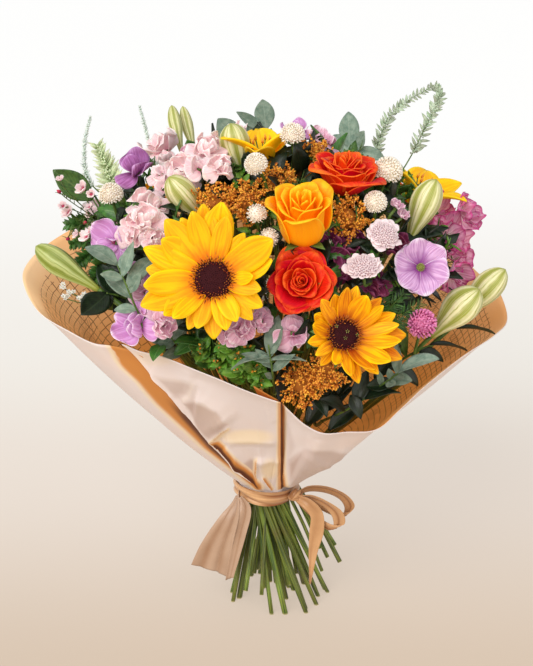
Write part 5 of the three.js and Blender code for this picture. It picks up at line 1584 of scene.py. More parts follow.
EUCALYPTUS_STEMS = {
    "eucalyptus_left": (
        [(-104, -16, 96), (-126, 16, 146), (-142, 52, 158), (-152, 74, 152)],
        [
            (0.5, (-0.7, 0.8, 0.1), (0.3, 0.2, 0.9), 36, 17),
            (0.6, (0.55, 0.85, 0.1), (-0.4, 0, 0.9), 40, 16),
            (0.9, (-0.8, 0.7, 0.1), (0.4, 0.3, 0.9), 38, 19),
            (0.72, (0.35, 0.9, 0.2), (-0.3, 0.1, 1), 36, 13),
        ],
    ),
    "eucalyptus_low": (
        [(-70, -32, 68), (-87, -15, 102), (-97, -2, 119)],
        [
            (0.95, (-0.2, 1, 0.15), (0, -0.1, 1), 34, 17), (0.75, (-0.9, 0.4, 0.1), (0.1, 0.3, 1), 36, 22),
            (0.8, (0.5, 0.9, 0.2), (-0.3, 0.2, 1), 32, 15),
        ],
    ),
    "eucalyptus_centre": (
        [(8, -60, 92), (6, -40, 146), (2, -12, 172)],
        [
            (0.8, (0.16, 1, 0.1), (-0.2, -0.1, 1), 40, 18), (0.78, (-1, 0.05, 0.1), (0, 0.8, 0.6), 40, 13),
            (0.74, (0.95, 0.15, 0.1), (0, 0.8, 0.6), 34, 12),
            (0.6, (-0.6, 0.6, 0.3), (0.2, 0.4, 0.9), 26, 11),
        ],
    ),
    "eucalyptus_top": (
        [(-30, 150, -80), (-26, 184, -100), (0, 204, -104)],
        [
            (0.98, (-0.05, 1, 0), (0.2, 0, 1), 34, 22), (0.95, (-0.9, 0.5, 0.2), (0, 0.6, 0.8), 36, 14),
            (0.5, (-0.55, 0.85, 0), (0.3, 0, 1), 42, 26),
        ],
    ),
    "eucalyptus_top_right": (
        [(96, 130, -70), (90, 166, -84), (82, 186, -88)],
        [
            (0.98, (0.02, 1, 0), (0.1, 0, 1), 40, 22), (0.6, (-0.55, 0.8, 0.1), (0.1, 0, 1), 40, 30),
            (0.8, (0.9, 0.1, 0.2), (0, 0.5, 0.8), 36, 16),
        ],
    ),
    "eucalyptus_right": (
        [(100, -62, 76), (118, -50, 122), (132, -40, 140)],
        [
            (0.95, (0.05, 1, 0.1), (-0.5, 0, 1), 30, 12), (0.97, (0.8, 0.62, 0.1), (-0.3, 0.7, 0.7), 44, 12),
            (0.6, (0.7, 0.2, 0.4), (0.1, 0.5, 0.8), 24, 14),
        ],
    ),
}
for name, (line, leaves) in EUCALYPTUS_STEMS.items():
    leafy_stem(name, line, leaves, OVALS, EUCALYPTUS, "eucalyptus", shoot=False, extra=4)

leafy_stem(
    "leaf_left", [(-134, 92, -6), (-160, 114, -8), (-174, 134, -10)],
    [(0.98, (-0.85, 0.6, 0), (0.2, 0.1, 1), 50, 28), (0.7, (-0.3, -0.9, 0.5), (-0.4, 0.2, 1), 40, 22)],
    OVALS, LEAF, "leaf", extra=2,
)
leafy_stem(
    "leaf_front", [(-40, -50, 64), (-56, -24, 106), (-64, -12, 124)],
    [
        (0.9, (-0.5, 0.4, 0.6), (0.3, 0.8, 0.5), 34, 24), (0.95, (0.25, 0.95, 0.2), (-0.2, 0, 1), 34, 24),
        (0.6, (0.3, -0.3, 0.9), (0, 0.9, 0.4), 30, 20),
    ],
    OVALS, LEAF, "leaf", extra=5,
    loose=[
        ((-92, -22, 116), (0.85, 0.6, 0.2), (-0.3, 0.5, 0.9), 46, 20),
        ((-70, 0, 120), (0.6, -0.6, 0.5), (0, 0.5, 0.9), 30, 16),
        ((-104, -12, 118), (-0.3, -0.2, 0.9), (0, 0.9, 0.5), 26, 16),
        ((-34, -2, 128), (0.6, 0.5, 0.5), (-0.2, 0.3, 1), 26, 16),
    ],
)


def sprig_leaves(count):
    leaves = []
    for i in range(count):
        side = 1 if i % 2 else -1
        out = (side * 0.85, 0.35 + 0.3 * math.sin(i * 2.1), 0.35)
        leaves.append((0.35 + 0.65 * i / count, out, (0, 0.5, 0.9), 17 + 3 * math.sin(i), 12))
    return leaves


def sprig_branches(piece):
    """Short branches with many small leaves and, at their tips, clusters of tiny buds."""
    draw = random.Random(31)
    root = seen(-16, -58, 92)
    for k, tip in enumerate([
        (-64, -14, 134), (-46, -12, 142), (-28, -24, 146), (-12, -36, 138), (-50, -26, 132), (-30, -38, 128),
        (-6, -48, 120), (-70, -20, 128), (-20, -14, 140), (-4, -28, 134),
    ]):
        end = seen(*tip)
        line = smooth_line([root, root.lerp(end, 0.6) + UP * 4, end], 12)
        piece.add(tube(line, [1.1 - 0.05 * i for i in range(13)], 5), None, 0.5, GREEN)
        ahead = (end - line[8]).normalized()
        for i in range(15):
            at = along_line(line, 0.42 + 0.58 * i / 15)
            turn = Matrix.Rotation(i * GOLDEN_ANGLE + k, 3, ahead)
            out = (ahead * 0.7 + turn @ ahead.orthogonal().normalized()).normalized()
            length = draw.uniform(9, 15)
            spot = blade_place(at, out, ahead + TOWARD * 0.6, length, length * 0.62)
            piece.add(draw.choice(PLAIN_LEAVES), spot, draw.random(), MAIN)
        for i in range(14):
            out = (ahead * 0.8 + any_way(draw)).normalized()
            spot = placed(end + out * draw.uniform(1.5, 5), out) @ scaled(draw.uniform(0.9, 1.6))
            piece.add(BUD, spot, draw.random(), SECOND if i % 4 == 0 else GREEN)


leafy_stem(
    "sprig_front", [(-10, -64, 76), (-24, -42, 124), (-36, -12, 146)], sprig_leaves(7),
    OVALS, BRIGHT_LEAF, "leaf", more=sprig_branches,
)
leafy_stem(
    "dark_leaves_front", [(56, -88, 58), (78, -78, 96), (98, -66, 112)],
    [
        (0.5, (-0.5, 0.5, 0.7), (0.2, 0.7, 0.7), 34, 18), (0.8, (0.2, 0.9, 0.3), (-0.1, 0.4, 0.9), 36, 17),
        (0.95, (0.9, 0.4, 0.2), (0, 0.8, 0.6), 38, 20),
    ],
    LANCES, DARK_LEAF_AND_SHADE, "dark_leaf",
    loose=[
        ((40, -92, 84), (0.6, 0.76, 0.1), (-0.4, 0.3, 0.9), 46, 24),
        ((62, -98, 82), (0.66, 0.74, 0), (-0.3, 0.2, 0.9), 46, 17),
        ((2, -52, 92), (-0.2, 0.95, 0.1), (0.1, 0.4, 0.9), 44, 22),
        ((14, -70, 88), (0.2, 0.95, 0.1), (0, 0.4, 0.9), 46, 22),
        ((28, -64, 86), (0.5, 0.8, 0.1), (-0.1, 0.5, 0.9), 44, 20),
        ((50, -80, 84), (0.7, 0.6, 0.1), (-0.1, 0.4, 0.9), 46, 22),
        ((72, -62, 88), (0.3, 0.9, 0.1), (0, 0.5, 0.9), 42, 20),
        ((88, -66, 84), (0.85, 0.4, 0), (0, 0.5, 0.9), 46, 22),
        ((108, -46, 88), (0.6, 0.7, 0.1), (0, 0.6, 0.8), 42, 20),
        ((100, -54, 110), (1, 0.1, 0.1), (0, 0.5, 0.9), 34, 18),
        ((84, -62, 108), (0.4, -0.7, 0.5), (0, 0.5, 0.9), 26, 14),
        ((124, -36, 96), (0.9, -0.2, 0.1), (0, 0.7, 0.7), 34, 16),
        ((48, -62, 96), (0.5, -0.5, 0.6), (0.1, 0.7, 0.7), 26, 14),
    ],
)
leafy_stem(
    "dark_leaves_right", [(130, -30, 70), (150, -18, 84), (164, -12, 86)],
    [
        (0.98, (1, 0.06, -0.1), (0, 0.7, 0.7), 40, 9), (0.5, (0.9, -0.1, 0.2), (0.2, 0.5, 0.8), 30, 12),
    ],
    LANCES, DARK_LEAF_AND_SHADE, "dark_leaf", loose=[((190, 4, 66), (1, 0.1, 0), (0, 0.8, 0.6), 40, 9)],
)
leafy_stem(
    "dark_leaves_left", [(-112, 24, 40), (-144, 36, 74), (-160, 40, 84)],
    [(0.95, (-0.6, -0.6, 0.5), (-0.1, 0.4, 0.9), 40, 28), (0.6, (-0.4, 0.8, 0.3), (0.2, 0.1, 1), 38, 24)],
    OVALS, DARK_LEAF_AND_SHADE, "dark_leaf", extra=3,
)
leafy_stem(
    "leaves_back", [(0, 104, -60), (8, 120, -92), (18, 132, -108)],
    [
        (0.95, (0.4, 0.8, -0.5), (0, 0.6, -0.6), 46, 28), (0.9, (-0.8, 0.6, -0.4), (0.2, 0.5, -0.7), 48, 28),
        (0.8, (0.9, 0.3, -0.5), (0, 0.5, -0.8), 46, 26),
    ],
    OVALS, LEAF, "leaf", extra=3,
)


def frond(piece, draw, points, pairs, length, width, start, form, beads=0, finish=MAIN):
    """Small leaflets in pairs along a curved stalk, with tiny buds between them."""
    piece.add(tube(points, [0.9 * (1 - 0.6 * k / 24) for k in range(25)], 5), None, 0.5, GREEN)
    for k in range(pairs):
        share = start + (1 - start) * (k + 0.5) / pairs
        at = along_line(points, share)
        forward = (along_line(points, min(1, share + 0.06)) - along_line(points, share - 0.06)).normalized()
        side = forward.cross(TOWARD).normalized()
        for turn in (-1, 1):
            reach = length * (1 - 0.62 * share) * draw.uniform(0.7, 1.2)
            out = side * turn + forward * draw.uniform(0.5, 1.2) + TOWARD * draw.uniform(-0.5, 0.5)
            face = TOWARD + side * draw.uniform(-0.6, 0.6)
            spot = blade_place(at, out, face, reach, width * (1 - 0.4 * share) * draw.uniform(0.8, 1.2))
            piece.add(form, spot, draw.random(), finish)
        for _ in range(beads):
            out = scattered(draw).normalized()
            thick = length * 0.34 * (1.15 - share)
            spot = placed(at + out * draw.uniform(0.2, 1) * thick, out + forward)
            spot = spot @ scaled(draw.uniform(0.7, 1.3))
            piece.add(BUD, spot, draw.random(), finish)


def feathered(name, root, tips, material, slot, pairs, length, width, start=0.3, form=LEAFLET, beads=0):
    """Feathery stems: fronds that grow from one root."""
    seat = seen(*root)
    ahead = (seen(*tips[0][0]) - seat).normalized()
    piece = Piece()
    draw = random.Random(len(name) * 7)
    for tip in tips:
        points = smooth_line([seat, *(seen(*p) for p in tip)], 24)
        frond(piece, draw, points, pairs, length, width, start, form, beads)
    piece.made(name + "_fronds", [material, SEPAL], (name,), slot)
    seat_stem(seat, ahead, 2, True)


feathered(
    "plume_right", (88, 106, -66),
    [
        [(106, 172, -92), (126, 220, -100), (166, 247, -104)],
        [(134, 160, -98), (160, 208, -106), (173, 236, -108), (168, 247, -108)],
    ],
    FERN, "plume", 24, 15, 4.6, start=0.34, form=LEAFLET_OVAL, beads=8,
)
feathered(
    "spikes_silver", (-134, 116, -36),
    [
        [(-176, 150, -44), (-182, 186, -50), (-176, 217, -52)],
        [(-112, 158, -36), (-118, 192, -46), (-127, 227, -50)],
    ],
    SILVER, "silver", 34, 7, 2.0, beads=5,
)
feathered(
    "plume_pale", (-136, 100, -54), [[(-150, 140, -50), (-158, 162, -52), (-169, 188, -54)]],
    PLUME, "plume", 30, 26, 5.0, beads=7,
)
feathered(
    "fern_right", (106, -8, 84),
    [
        [(118, 18, 132), (138, 40, 142)], [(124, 6, 132), (148, 14, 138)], [(126, 12, 134), (156, 30, 136)],
        [(112, 20, 132), (122, 44, 138)],
    ],
    LEAF, "leaf", 26, 20, 1.4,
)


# Small stuff that fills the dome between the heads

INNER_LEAVES = 430
NEAR_LEAVES = 150
TWIGS = 90
LEFT_FRONDS = [
    ((-168, 84, 30), (-192, 66, 56)), ((-170, 96, 20), (-196, 88, 44)), ((-160, 70, 40), (-176, 46, 70)),
    ((-176, 110, 10), (-200, 108, 24)), ((-20, 128, 60), (-34, 142, 70)),
]
# Tiny white flowers: where their stalks start, and their tips
WHITE_FLOWERS = {
    (-168, 30, 60): [(-204, 46, 74), (-196, 40, 78), (-186, 34, 80), (-181, 36, 84), (-200, 34, 76)],
    (-6, 0, 110): [(-18, 24, 132), (-9, 20, 136), (-3, 24, 132), (1, 42, 120), (4, 50, 116), (-2, 36, 124)],
}


def filler():
    draw = random.Random(2024)
    inner = Piece()
    # Leaves on an inner dome, mostly near-black: leaves that show between the heads, and a dark layer put
    # where the gaps between them lie in shade.
    for i in range(INNER_LEAVES):
        azimuth, height = i * math.degrees(GOLDEN_ANGLE), draw.uniform(-24, 84)
        at = round_dome(azimuth, height, draw.uniform(-46, -26) - (16 if height < 0 else 0))
        normal = dome_normal(at)
        out = (normal + 0.9 * scattered(draw)).normalized()
        face = (normal + 0.5 * scattered(draw)).normalized()
        length = draw.uniform(24, 42)
        spot = blade_place(at, out, face, length, length * draw.uniform(0.4, 0.6))
        inner.add(draw.choice(PLAIN_LEAVES), spot, draw.random(), draw.choice((0, 0, 0, 1)))
    for i in range(NEAR_LEAVES):
        at = round_dome(draw.uniform(190, 350), draw.uniform(2, 84), draw.uniform(-26, -16))
        normal = dome_normal(at)
        out = (normal + 0.9 * scattered(draw)).normalized()
        length = draw.uniform(18, 30)
        spot = blade_place(at, out, normal, length, length * draw.uniform(0.35, 0.5))
        inner.add(draw.choice(PLAIN_LEAVES), spot, draw.random(), draw.choice((0, 0, 0, 1)))
    inner.made("inner_leaves", [DARK_LEAF_AND_SHADE, LEAF], (), "dark_leaf")
    twigs = Piece()
    for i in range(TWIGS):
        azimuth = draw.uniform(150, 400)
        height = draw.uniform(8 if 195 < azimuth < 345 else 4, 70)
        tip = round_dome(azimuth, height, draw.uniform(-14, -2))
        normal = dome_normal(tip)
        across, rise = sighted(tip)
        if math.hypot(across - 35, rise - 53) < 36:
            tip -= normal * 16
        aside = scattered(draw)
        line = smooth_line([tip - normal * 40, tip - normal * 18 + aside * 6, tip + aside * 4], 10)
        twigs.add(tube(line, 0.7, 4), None, 0.4, 0)
        if i % 3 == 0:
            needles(twigs, line, 34, 11, i, 0, 0.7)
            continue
        for k in range(9):
            at = along_line(line, 0.35 + 0.65 * k / 9)
            out = (normal * 0.6 + scattered(draw)).normalized()
            length = draw.uniform(9, 15)
            spot = blade_place(at, out, normal + aside * 0.3, length, length * 0.5)
            twigs.add(LEAFLET_OVAL, spot, draw.random(), 1 + i % 2)
    for root, tip in LEFT_FRONDS:
        foot, end = seen(*root), seen(*tip)
        line = smooth_line([foot, foot.lerp(end, 0.5) + TOWARD * 6, end], 24)
        frond(twigs, draw, line, 14, 16, 5, 0.1, LEAFLET_OVAL, finish=1)
    for root, tips in WHITE_FLOWERS.items():
        foot = seen(*root)
        for tip in tips:
            end = seen(*tip)
            twigs.add(tube([foot, foot.lerp(end, 0.6) - UP * 2, end], 0.5, 4), None, 0.4, 0)
            for k in range(4):
                at = end + scattered(draw, 3)
                for j in range(5):
                    spot = placed(at, TOWARD + UP * 0.6, k) @ petal_place(TURN * j / 5, 0.2, 0, 1.1, 2.8, 1.1)
                    twigs.add(SMALL_PETAL, spot, draw.random(), 3)
    twigs.made("filler_twigs", [SEPAL, LEAF, BRIGHT_LEAF, WHITE], (), "leaf")


filler()


# The stems: a spiral bunch, each stem slanting the same way past its neighbours at the tie

EASING_ROUNDS = 200
STRING_RADIUS = 26.5


def neck_of(at, direction):
    share = min(1, math.hypot(at.x, at.y) / DOME_RADII.x)
    return at - direction * (28 + 12 * share)


def lay_stems(stems):
    """The place of each stem at the tie and its slant, eased apart where heads crowd."""
    laid = []
    for at, direction, radius, _ in stems:
        neck = neck_of(at, direction)
        rise = neck.z - TIE_HEIGHT
        slant = Vector((rise * neck.x + SPIRAL * neck.y, rise * neck.y - SPIRAL * neck.x, 0))
        slant /= rise * rise + SPIRAL * SPIRAL
        laid.append([Vector((-slant.y, slant.x, 0)) * SPIRAL, slant, radius])
    for _ in range(EASING_ROUNDS):
        for i, p in enumerate(laid):
            for q in laid[i + 1 :]:
                apart = q[0] - p[0]
                short = p[2] + q[2] + 0.3 - apart.length
                if short > 0:
                    apart = apart.normalized() * short / 2
                    p[0] -= apart
                    q[0] += apart
            reach = BUNCH_RADIUS - p[2]
            if p[0].length > reach:
                p[0] = p[0].normalized() * reach
    return laid


def stem_bunch():
    mains = [seat for seat in seats if not seat[3]]
    laid = lay_stems(mains)
    piece = Piece()
    lines = []
    for k, ((at, direction, radius, _), (tie, slant, _)) in enumerate(zip(mains, laid)):
        foot = tie - slant * FOOT_SPLAY * TIE_HEIGHT + BASE_SHIFT
        foot.z = 0 if slant.length > 0.4 else 4 + 18 * abs(math.sin(k * 2.7))
        corners = [foot, tie + Vector((0, 0, TIE_HEIGHT)), neck_of(at, direction), at]
        lines.append(corners)
        line = [corners[0].lerp(corners[1], i / 5) for i in range(5)]
        line += [corners[1].lerp(corners[2], i / 5) for i in range(5)] + [corners[2], corners[3]]
        piece.add(tube(line, radius, 12, flat_foot=True), None, (k * 0.37) % 1, 0)
    forks = [tie.lerp(neck, 0.62) for _, tie, neck, _ in lines]
    for at, direction, radius, shoot in seats:
        if shoot:
            fork = min(forks, key=lambda p: (p - at).length)
            line = smooth_line([fork, at - direction * 16, at], 8)
            piece.add(tube(line, radius * 0.8, 8), None, 0.5, 0)
    for k, (across, rise, forward) in enumerate([
        (73.5, -229, -84), (68.5, -212, -86), (55.5, -238, -82), (54, -215, -92), (61, -224, -96),
        (30, -240, -100),
        (-21, -258, -78), (-12, -240, -96), (8, -232, -100), (24, -252, -84), (-5, -262, -74),
    ]):
        end = seen(across, rise, forward)
        knee = Vector((end.x * 0.3, 10 - 12 * (k % 3), TIE_HEIGHT + 6))
        line = smooth_line([end, end.lerp(knee, 0.5) + Vector((1.5, 0, 2)), knee], 10)
        piece.add(tube(line, 2.4 - 0.3 * (k % 3), 10), None, (k * 0.61) % 1, 0)
    string = tube([Vector((0, 0, TIE_HEIGHT - 3)), Vector((0, 0, TIE_HEIGHT + 3))], STRING_RADIUS, 32)
    piece.add(string, None, 0.5, 1)
    piece.made("stem_bunch", [STEM, STRING], ("stems",), "stem")


stem_bunch()


# The paper wrapper

RIM_BACK = [
    (-95, 140, 309), (-90, 140, 301), (-84, 140, 291), (-75, 143, 268), (-68, 146, 258), (-60, 149, 256),
    (-51, 163, 257), (-43, 172, 274), (-35, 184, 294), (-24, 206, 315), (-14, 226, 322), (-2, 236, 318),
    (8, 232, 330),
    (20, 229, 326), (36, 232, 332), (62, 214, 360), (90, 196, 394), (120, 204, 380), (150, 224, 364),
    (174, 238, 360),
    (180, 238, 358), (186, 224, 334), (194, 195, 322), (201, 176, 317), (206, 164, 319), (211, 152, 318),
    (217, 146, 316),
]
RIM_FRONT = [
    (211, 157.6, 325.6), (216, 151, 323), (230, 148, 328), (248, 147, 321.5), (264, 146, 307),
    (275, 148, 297),
]
# The front sheet's left edge and the folds of its panel, as places in the photograph. Each fold is its line,
# its height, how wide its slow and its steep side are, how deep its shade is and on which side it is steep.
PANEL_EDGE = [
    (121, 343), (132, 357), (143, 369), (157, 382), (174, 404), (200, 432), (214, 448), (238, 468),
    (262, 487),
    (266, 495),
]
FOLDS = [
    ([(150, 373), (172, 377), (198, 379)], 4, 24, 16, 0.04, 1),
    ([(198, 378), (192, 397), (183, 403)], 3, 14, 10, 0.08, 1),
    ([(196, 398), (207, 400), (220, 410), (229, 424)], 7, 20, 28, 0.06, 1),
    ([(230, 425), (222, 431), (210, 444)], 6, 30, 4, 0.5, -1),
    ([(211, 440), (222, 448), (238, 466), (254, 480), (263, 490)], 6, 9, 5, 1.2, -1),
    ([(221, 441), (250, 440), (279, 442)], 4, 12, 6, 0.08, 1),
    ([(226, 444), (236, 456), (240, 472)], 4, 10, 6, 0.2, 1),
    ([(258, 456), (257, 472), (261, 490)], 6, 18, 4, 0.6, 1),
    ([(258, 462), (270, 460), (281, 462)], 3, 9, 5, 0.1, 1),
    ([(284, 489), (295, 471), (308, 449)], 7, 26, 8, 0.02, -1),
    ([(306, 449), (326, 449), (345, 455)], 5, 26, 30, 0.02, 1),
    ([(300, 470), (318, 462), (330, 466)], 3, 12, 9, 0.05, 1),
    ([(262, 474), (268, 484), (272, 491)], 3, 6, 3, 0.7, -1),
    ([(240, 470), (252, 482), (258, 489)], 2.5, 5, 2.5, 0.8, 1),
]
# Patches of painted glow on the front panel: their middle in the photo, their width and height, and their
# strength
GLOW_PATCHES = [(248, 436, 26, 7, 0.24), (270, 468, 9, 10, 0.24), (150, 358, 34, 8, 0.12)]
# How far round the panel's left edge has moved, in degrees, at shares of the way from the tie to the rim
EDGE_TURNS = (
    [0, 0.04, 0.1, 0.15, 0.25, 0.35, 0.46, 0.6, 0.72, 0.8, 0.88, 0.94, 1],
    [53, 51.3, 44.8, 40.2, 31.5, 25, 20.5, 16, 12.6, 9.6, 5.2, 2.2, 0],
)
# Facets of the front panel that get painted shade: their corners in the photo, and how deep the shade is
SHADED_FACETS = [
    ([(157, 376), (194, 380), (195, 388), (184, 400), (174, 400)], 0.5),
    ([(183, 401), (200, 398), (221, 407), (231, 423), (225, 431), (212, 441), (197, 430)], 0.8),
    ([(240, 463), (250, 456), (262, 460), (259, 482), (247, 473)], 0.75),
    ([(286, 487), (286, 458), (302, 446), (330, 446), (352, 452), (324, 476), (300, 488)], 0.6),
    ([(286, 491), (287, 462), (300, 448), (307, 451), (296, 470)], 0.95),
    ([(286, 470), (286, 430), (291, 425), (298, 446)], 0.3),
]


FACET_SOFTNESS = 5
# The share of the sheet that is tucked under the band, and half the width of the front sheet's opening
TUCK = 0.06
OPENING = 14.6


def eased(value):
    value = max(0.0, min(1.0, value))
    return value * value * (3 - 2 * value)


def fold_at(spot, line, height, slow, steep, shade, side):
    """How far one fold lifts the paper at a seen spot, and how deep its shade is there."""
    near = None
    for k, (a, b) in enumerate(zip(line, line[1:])):
        dx, dy = b[0] - a[0], b[1] - a[1]
        px, py = spot[0] - a[0], spot[1] - a[1]
        length = dx * dx + dy * dy
        t = (px * dx + py * dy) / length
        held = max(0.0, min(1.0, t))
        away = math.hypot(px - held * dx, py - held * dy)
        if near is None or away < near[0]:
            near = away, (dx * py - dy * px) * side, (k + held) / (len(line) - 1)
    away, turned, share = near
    if away > max(slow, steep, 3 * steep):
        return 0.0, 0.0
    ends = eased(min(share, 1 - share) / 0.2 + 0.15)
    if turned > 0:
        return height * max(0.0, 1 - away / steep) * ends, shade * max(0.0, 1 - away / (steep * 1.4)) * ends
    return height * max(0.0, 1 - away / slow) ** 1.6 * ends, 0.0


def shade_of_facet(x, y):
    """How deep the painted shade of the paper's facet at a seen spot is."""
    most = 0.0
    for corners, share in SHADED_FACETS:
        inner = min(
            ((bx - ax) * (y - ay) - (by - ay) * (x - ax)) / math.hypot(bx - ax, by - ay)
            for (ax, ay), (bx, by) in zip(corners, corners[1:] + corners[:1])
        )
        most = max(most, share * eased(inner / FACET_SOFTNESS))
    return most


def panel_edge(y):
    for (x0, y0), (x1, y1) in zip(PANEL_EDGE, PANEL_EDGE[1:]):
        if y <= y1:
            return x0 + (x1 - x0) * (max(y, y0) - y0) / (y1 - y0)
    return PANEL_EDGE[-1][0]


def centripetal(points, steps):
    """Points along the curve that runs evenly through unevenly spaced points."""
    line = []
    for a, b, c, d, share in spans(points, steps):
        t1 = (b - a).length ** 0.5
        t2 = t1 + (c - b).length ** 0.5
        t3 = t2 + (d - c).length ** 0.5
        t = t1 + (t2 - t1) * share
        e = a * ((t1 - t) / t1) + b * (t / t1)
        f = b * ((t2 - t) / (t2 - t1)) + c * ((t - t1) / (t2 - t1))
        g = c * ((t3 - t) / (t3 - t2)) + d * ((t - t2) / (t3 - t2))
        h = e * ((t2 - t) / t2) + f * (t / t2)
        m = f * ((t3 - t) / (t3 - t1)) + g * ((t - t1) / (t3 - t1))
        line.append(h * ((t2 - t) / (t2 - t1)) + m * ((t - t1) / (t2 - t1)))
    return line


def thin_sheet(name, shape, columns, rows, thickness, materials, nodes):
    """A thin closed sheet: a grid whose points, tone and painted facet shade are what shape() says, made
    solid.
    """
    bpy.ops.object.select_all(action="DESELECT")
    bpy.ops.mesh.primitive_grid_add(x_subdivisions=columns, y_subdivisions=rows, size=2)
    made = bpy.context.object
    made.name = made.data.name = name
    mesh = made.data
    flat = np.empty(len(mesh.vertices) * 3, np.float32)
    mesh.vertices.foreach_get("co", flat)
    spots = [shape((x + 1) / 2, (y + 1) / 2) for x, y, _ in flat.reshape(-1, 3)]
    points = np.array([p[:3] for p in spots])
    tones = np.array([p[3] for p in spots], np.float32)
    facet_shades = np.array([p[4] if len(p) > 4 else 0.0 for p in spots], np.float32)
    mesh.vertices.foreach_set("co", ((points + np.array(AXIS)) * MM).astype(np.float32).ravel())
    mesh.uv_layers.active.name = "spots"
    for label, values in (("tone", tones), ("dusk", facet_shades)):
        mesh.attributes.new(label, "FLOAT", "POINT").data.foreach_set("value", values)
    mesh.polygons.foreach_set("use_smooth", np.ones(len(mesh.polygons), bool))
    mesh.update()
    for material in materials:
        mesh.materials.append(material)
    apply_modifier(
        made, "SOLIDIFY", thickness=thickness * MM, offset=0, material_offset=1, material_offset_rim=0,
    )
    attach(made, "root")
    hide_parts(*nodes)
    return made


def paper_wall(name, node, rim, columns, rows, proud, seed):
    curve = centripetal([Vector(p) for p in rim], columns)
    top = TIE_HEIGHT + BAND_HEIGHT / 2 + 1
    front = node == "wrapper_front"
    first, last = rim[0][0], rim[-1][0]
    draw = random.Random(seed)
    creases = [
        (
            math.radians(draw.uniform(-90, 280)), draw.uniform(0.02, 0.06), draw.uniform(-1.6, 1.6),
            draw.uniform(0.3, 1),
        )
        for _ in range(50)
    ]
    small = [
        (
            [(x, y), (x + draw.uniform(-26, 26), y + draw.uniform(4, 26))],
            draw.uniform(0.6, 1.4), 12, 4, 0.04, 1,
        )
        for x, y in [(draw.uniform(150, 340), draw.uniform(370, 470)) for _ in range(16)]
    ]

    def shape(along, up):
        place = along * columns
        k = min(int(place), columns - 1)
        angle, radius, height = curve[k].lerp(curve[k + 1], place - k)
        out = max(0.0, (up - TUCK) / (1 - TUCK))
        z = top + (height - top) * out if up > TUCK else top - (BAND_HEIGHT + 2) * (1 - up / TUCK)
        turn = float(np.interp(out, *EDGE_TURNS))
        if front:
            wide = PAPER_TIE_RADIUS + (radius - PAPER_TIE_RADIUS) * out
            start = first + turn
            end = 270 + math.degrees(math.asin(min(1, OPENING / wide)))
            angle = start + (end - start) * (angle - first) / (last - first)
        else:
            angle += turn * max(0, (along - 0.8) / 0.2) ** 1.3
            angle += 23 * (1 - out) ** 1.2 * max(0, 1 - along / 0.16) ** 1.3
        a = math.radians(angle)
        tie = PAPER_TIE_RADIUS + proud + PLEAT_DEPTH * math.sin(a * PLEATS)
        bulge = (5 + 6 * abs(math.cos(a))) * math.sin(math.pi * out ** 0.85)
        r = tie + (radius - tie) * out + bulge
        for middle, width, depth, reach in creases:
            off = abs((a - middle + math.pi) % TURN - math.pi)
            r += depth * math.exp(-off / width) * math.sin(math.pi * min(1, out / reach))
        r += 3.2 * max(0, (out - 0.9) / 0.1) ** 2
        tone, dusk = 0.5, 0.0
        # A painted highlight near the rim on the left of the back sheet.
        if not front and 168 < angle % 360 < 206:
            tone -= 0.16 * eased((out - 0.86) / 0.12)
        left, right = along < 0.3, along > 0.7
        facing_front = 200 < angle % 360 < 335 and (front or left or right)
        if facing_front and 0 < out < 1.01:
            across, rise = sighted(Vector((r * math.cos(a), r * math.sin(a), z)))
            x, y = PHOTO_WIDTH / 2 + across, PHOTO_HEIGHT / 2 - rise
            beside = x - panel_edge(y)
            shade = 0.0
            if front or left:
                for fold in FOLDS + small:
                    lift, deep = fold_at((x, y), *fold)
                    r += lift * min(1, (1 - out) / 0.06)
                    shade = max(shade, deep)
                # Patches of painted glow.
                for px, py, wide, tall, glow_share in GLOW_PATCHES:
                    reach = math.hypot((x - px) / wide, (y - py) / tall)
                    shade = max(shade, glow_share * eased(1.5 - reach))
            if front:
                r += 2.5 * out ** 0.5 * max(0, 1 - beside / 4) ** 2
                # Painted shade in the slit between the panels, with painted amber glow beside it.
                slit = 0.5 * eased((x - 275) / 4) + 0.6 * eased((x - 280) / 1.5)
                shade = max(shade, slit * eased((y - 396) / 8))
                # A painted highlight along the panel's left edge.
                tone -= 0.3 * eased(1 - beside / 1.6)
                # Painted shade on the panel's facets.
                dusk = shade_of_facet(x, y)
            elif left:
                r -= 4 * eased((287 - x) / 5)
                # Painted dark shade in the slit and painted amber glow beside it.
                slit = 1.05 * eased((285 - x) / 2) * eased((y - 398) / 6)
                shade = max(shade, slit, 0.62 * eased((288 - x) / 5))
                # Painted shade on the facets.
                dusk = shade_of_facet(x, y)
            else:
                # A band of painted amber glow on the back sheet beside the front panel's edge, with painted
                # shade next to the edge low down.
                reach = 26 - 10 * eased((y - 380) / 90)
                shade = 0.66 * eased((beside + reach) / 13)
                shade += 0.3 * eased((beside + 9) / 8) * eased((y - 392) / 30)
            # The painted shade becomes tone: a glow, then amber, then the dark of a fold.
            tone += 0.5 * min(1.0, shade)
        return r * math.cos(a), r * math.sin(a), z, tone, dusk

    thin_sheet(name, shape, columns, rows, PAPER, [PAPER_OUTSIDE, PAPER_INSIDE], (node,))


paper_wall("paper_back", "wrapper_back", RIM_BACK, 226, 56, 0, 1)
paper_wall("paper_front", "wrapper_front", RIM_FRONT, 138, 102, 1.5, 2)


# The ribbon

RIBBON = 0.5
WOUND_RIBBON = 0.6


